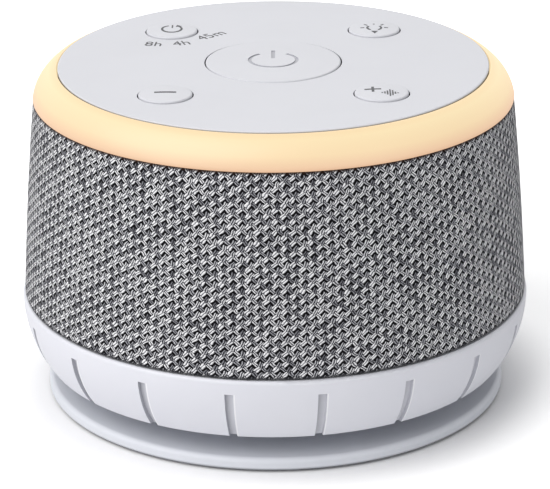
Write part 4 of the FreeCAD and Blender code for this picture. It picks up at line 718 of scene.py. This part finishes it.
timerTexts = [
    {"name": "mark_8h", "text": "8h", "x": -33.2, "y": 17.0, "tilt": -6.0, "width": 4.6},
    {"name": "mark_4h", "text": "4h", "x": -25.6, "y": 17.6, "tilt": 17.6, "width": 4.7},
    {"name": "mark_45m", "text": "45m", "x": -17.5, "y": 24.6, "tilt": 41.0, "width": 8.9},
]
for words in timerTexts:
    # the text is made a flat mesh, then sized and turned in that mesh
    curve = bpy.data.curves.new(words["name"], "FONT")
    curve.body = words["text"]
    curve.resolution_u = 4
    holder = bpy.data.objects.new(words["name"] + "_text", curve)
    bpy.context.scene.collection.objects.link(holder)
    bpy.context.view_layer.update()
    flat = bpy.data.meshes.new_from_object(holder.evaluated_get(bpy.context.evaluated_depsgraph_get()))
    bpy.data.objects.remove(holder)
    bm = bmesh.new()
    bm.from_mesh(flat)
    bpy.data.meshes.remove(flat)
    bmesh.ops.remove_doubles(bm, verts=bm.verts, dist=0.0001)
    left, right = min(v.co.x for v in bm.verts), max(v.co.x for v in bm.verts)
    low, high = min(v.co.y for v in bm.verts), max(v.co.y for v in bm.verts)
    size = Matrix.Diagonal((words["width"] * mm / (right - left), ink["textHeight"] / (high - low), 1, 1))
    middle = Matrix.Translation((-(left + right) / 2, -(low + high) / 2, 0))
    tilt = Matrix.Rotation(math.radians(words["tilt"]), 4, "Z")
    bmesh.ops.transform(bm, verts=bm.verts, matrix=tilt @ size @ middle)
    finishMark(words["name"], bm, "housing", lambda r: panelTop, (words["x"] * mm, words["y"] * mm))
print("marks done")


# floor, light and camera

paper = {
    "half": 5.0, "back": 1.5, "drop": 0.02 * mm,  # it lies just below the foot ring, not in its plane
    "drift": 3.0,  # cells of faint colour change to a metre, 330 mm each
    "near": {"from": 62 * mm, "to": 88 * mm, "lift": 0.4},  # distances from the machine's middle
    "far": {"from": 150 * mm, "to": 600 * mm, "lift": 0.6},
}


def studioPaper(name):
    # matt white paper roll: the camera sees it lifted to white by painted light, emission that grows with
    # distance from the machine, so close to its foot there is a painted contact shadow besides its real soft
    # shadow
    mat, tree, shader = newMaterial(name)
    place = addNode(tree, "TexCoord").outputs["Object"]
    cloud = addNode(tree, "TexNoise", {"Vector": place, "Scale": paper["drift"], "Detail": 1.0})
    colour = addNode(tree, "ValToRGB", {"Fac": cloud}, stops=[(0.2, "F7F7F8"), (0.8, "F9F9FA")])
    away = addNode(tree, "VectorMath", {0: place}, operation="LENGTH").outputs["Value"]
    # painted light: the near lift leaves a painted contact shadow round the foot, and the far lift brings the
    # distant paper up to white
    near = addNode(tree, "MapRange", {"Value": away, "From Min": paper["near"]["from"],
                                      "From Max": paper["near"]["to"], "To Max": paper["near"]["lift"]},
                   interpolation_type="SMOOTHSTEP")
    far = addNode(tree, "MapRange", {"Value": away, "From Min": paper["far"]["from"],
                                     "From Max": paper["far"]["to"], "To Max": paper["far"]["lift"]})
    lift = addNode(tree, "Math", {0: near, 1: far}, operation="ADD")
    seen = addNode(tree, "LightPath").outputs["Is Camera Ray"]
    lift = addNode(tree, "Math", {0: seen, 1: lift}, operation="MULTIPLY")
    plugIn(tree, shader, {"Base Color": colour, "Emission Color": srgb("FFFFFF"), "Emission Strength": lift,
                          "Roughness": 0.9, "Specular IOR Level": 0.1})
    return mat


bm = bmesh.new()
bmesh.ops.create_grid(bm, x_segments=1, y_segments=1, size=paper["half"],
                      matrix=Matrix.Translation((0, paper["back"], -paper["drop"])))
floorMesh = bpy.data.meshes.new("floor")
bm.to_mesh(floorMesh)
bm.free()
floorMesh.materials.append(studioPaper("studio_paper"))
floor = bpy.data.objects.new("floor", floorMesh)
bpy.context.scene.collection.objects.link(floor)

# the room is white to the eye and in reflections, and lights the machine only softly
sky = {"light": 0.42, "seen": 1.0}
world = bpy.data.worlds.new("studio")
bpy.context.scene.world = world
world.use_nodes = True
skyTree = world.node_tree
rays = addNode(skyTree, "LightPath").outputs
shown = addNode(skyTree, "Math", {0: rays["Is Camera Ray"], 1: rays["Is Glossy Ray"]}, operation="ADD")
shown = addNode(skyTree, "Math", {0: shown, 1: rays["Is Transmission Ray"]}, operation="ADD", use_clamp=True)
strength = addNode(skyTree, "MapRange", {"Value": shown, "To Min": sky["light"], "To Max": sky["seen"]})
plugIn(skyTree, skyTree.nodes["Background"], {"Color": (1.0, 1.0, 1.0, 1.0), "Strength": strength})

lampAim = Vector((0, 0, 0.04))
lamps = [
    {"name": "key", "at": (-0.75, -0.55, 0.95), "size": 1.6, "power": 15.0, "colour": (1.0, 0.99, 0.98)},
    {"name": "fill", "at": (0.9, -0.8, 0.5), "size": 1.0, "power": 1.2, "colour": (0.96, 0.98, 1.0)},
    {"name": "back", "at": (0.1, 0.9, 0.9), "size": 0.9, "power": 2.2, "colour": (1.0, 1.0, 1.0)},
]
for lamp in lamps:
    light = bpy.data.lights.new(lamp["name"], "AREA")
    light.shape = "DISK"
    light.size = lamp["size"]
    light.energy = lamp["power"]
    light.color = lamp["colour"]
    holder = bpy.data.objects.new(lamp["name"], light)
    holder.location = lamp["at"]
    aim = lampAim - holder.location
    holder.rotation_euler = aim.to_track_quat("-Z", "Y").to_euler()
    bpy.context.scene.collection.objects.link(holder)

# fitted to the photograph: lens and sensor in millimetres, angles in degrees
shot = {"lens": 187.39, "sensor": 36.0, "at": (0.0, -743.4 * mm, 329.1 * mm), "down": 21.275, "roll": -0.45,
        "shiftX": 0.32 / 550, "reach": 50.0}
camera = bpy.data.cameras.new("camera")
camera.lens = shot["lens"]
camera.sensor_width = shot["sensor"]
camera.shift_x = shot["shiftX"]
camera.clip_end = shot["reach"]
cameraHolder = bpy.data.objects.new("camera", camera)
cameraHolder.location = shot["at"]
pitch = Matrix.Rotation(math.radians(90 - shot["down"]), 3, "X")
roll = Matrix.Rotation(math.radians(shot["roll"]), 3, "Z")
cameraHolder.rotation_euler = (pitch @ roll).to_euler()
bpy.context.scene.collection.objects.link(cameraHolder)
bpy.context.scene.camera = cameraHolder
bpy.context.scene.view_settings.view_transform = "Standard"
print("stage done")
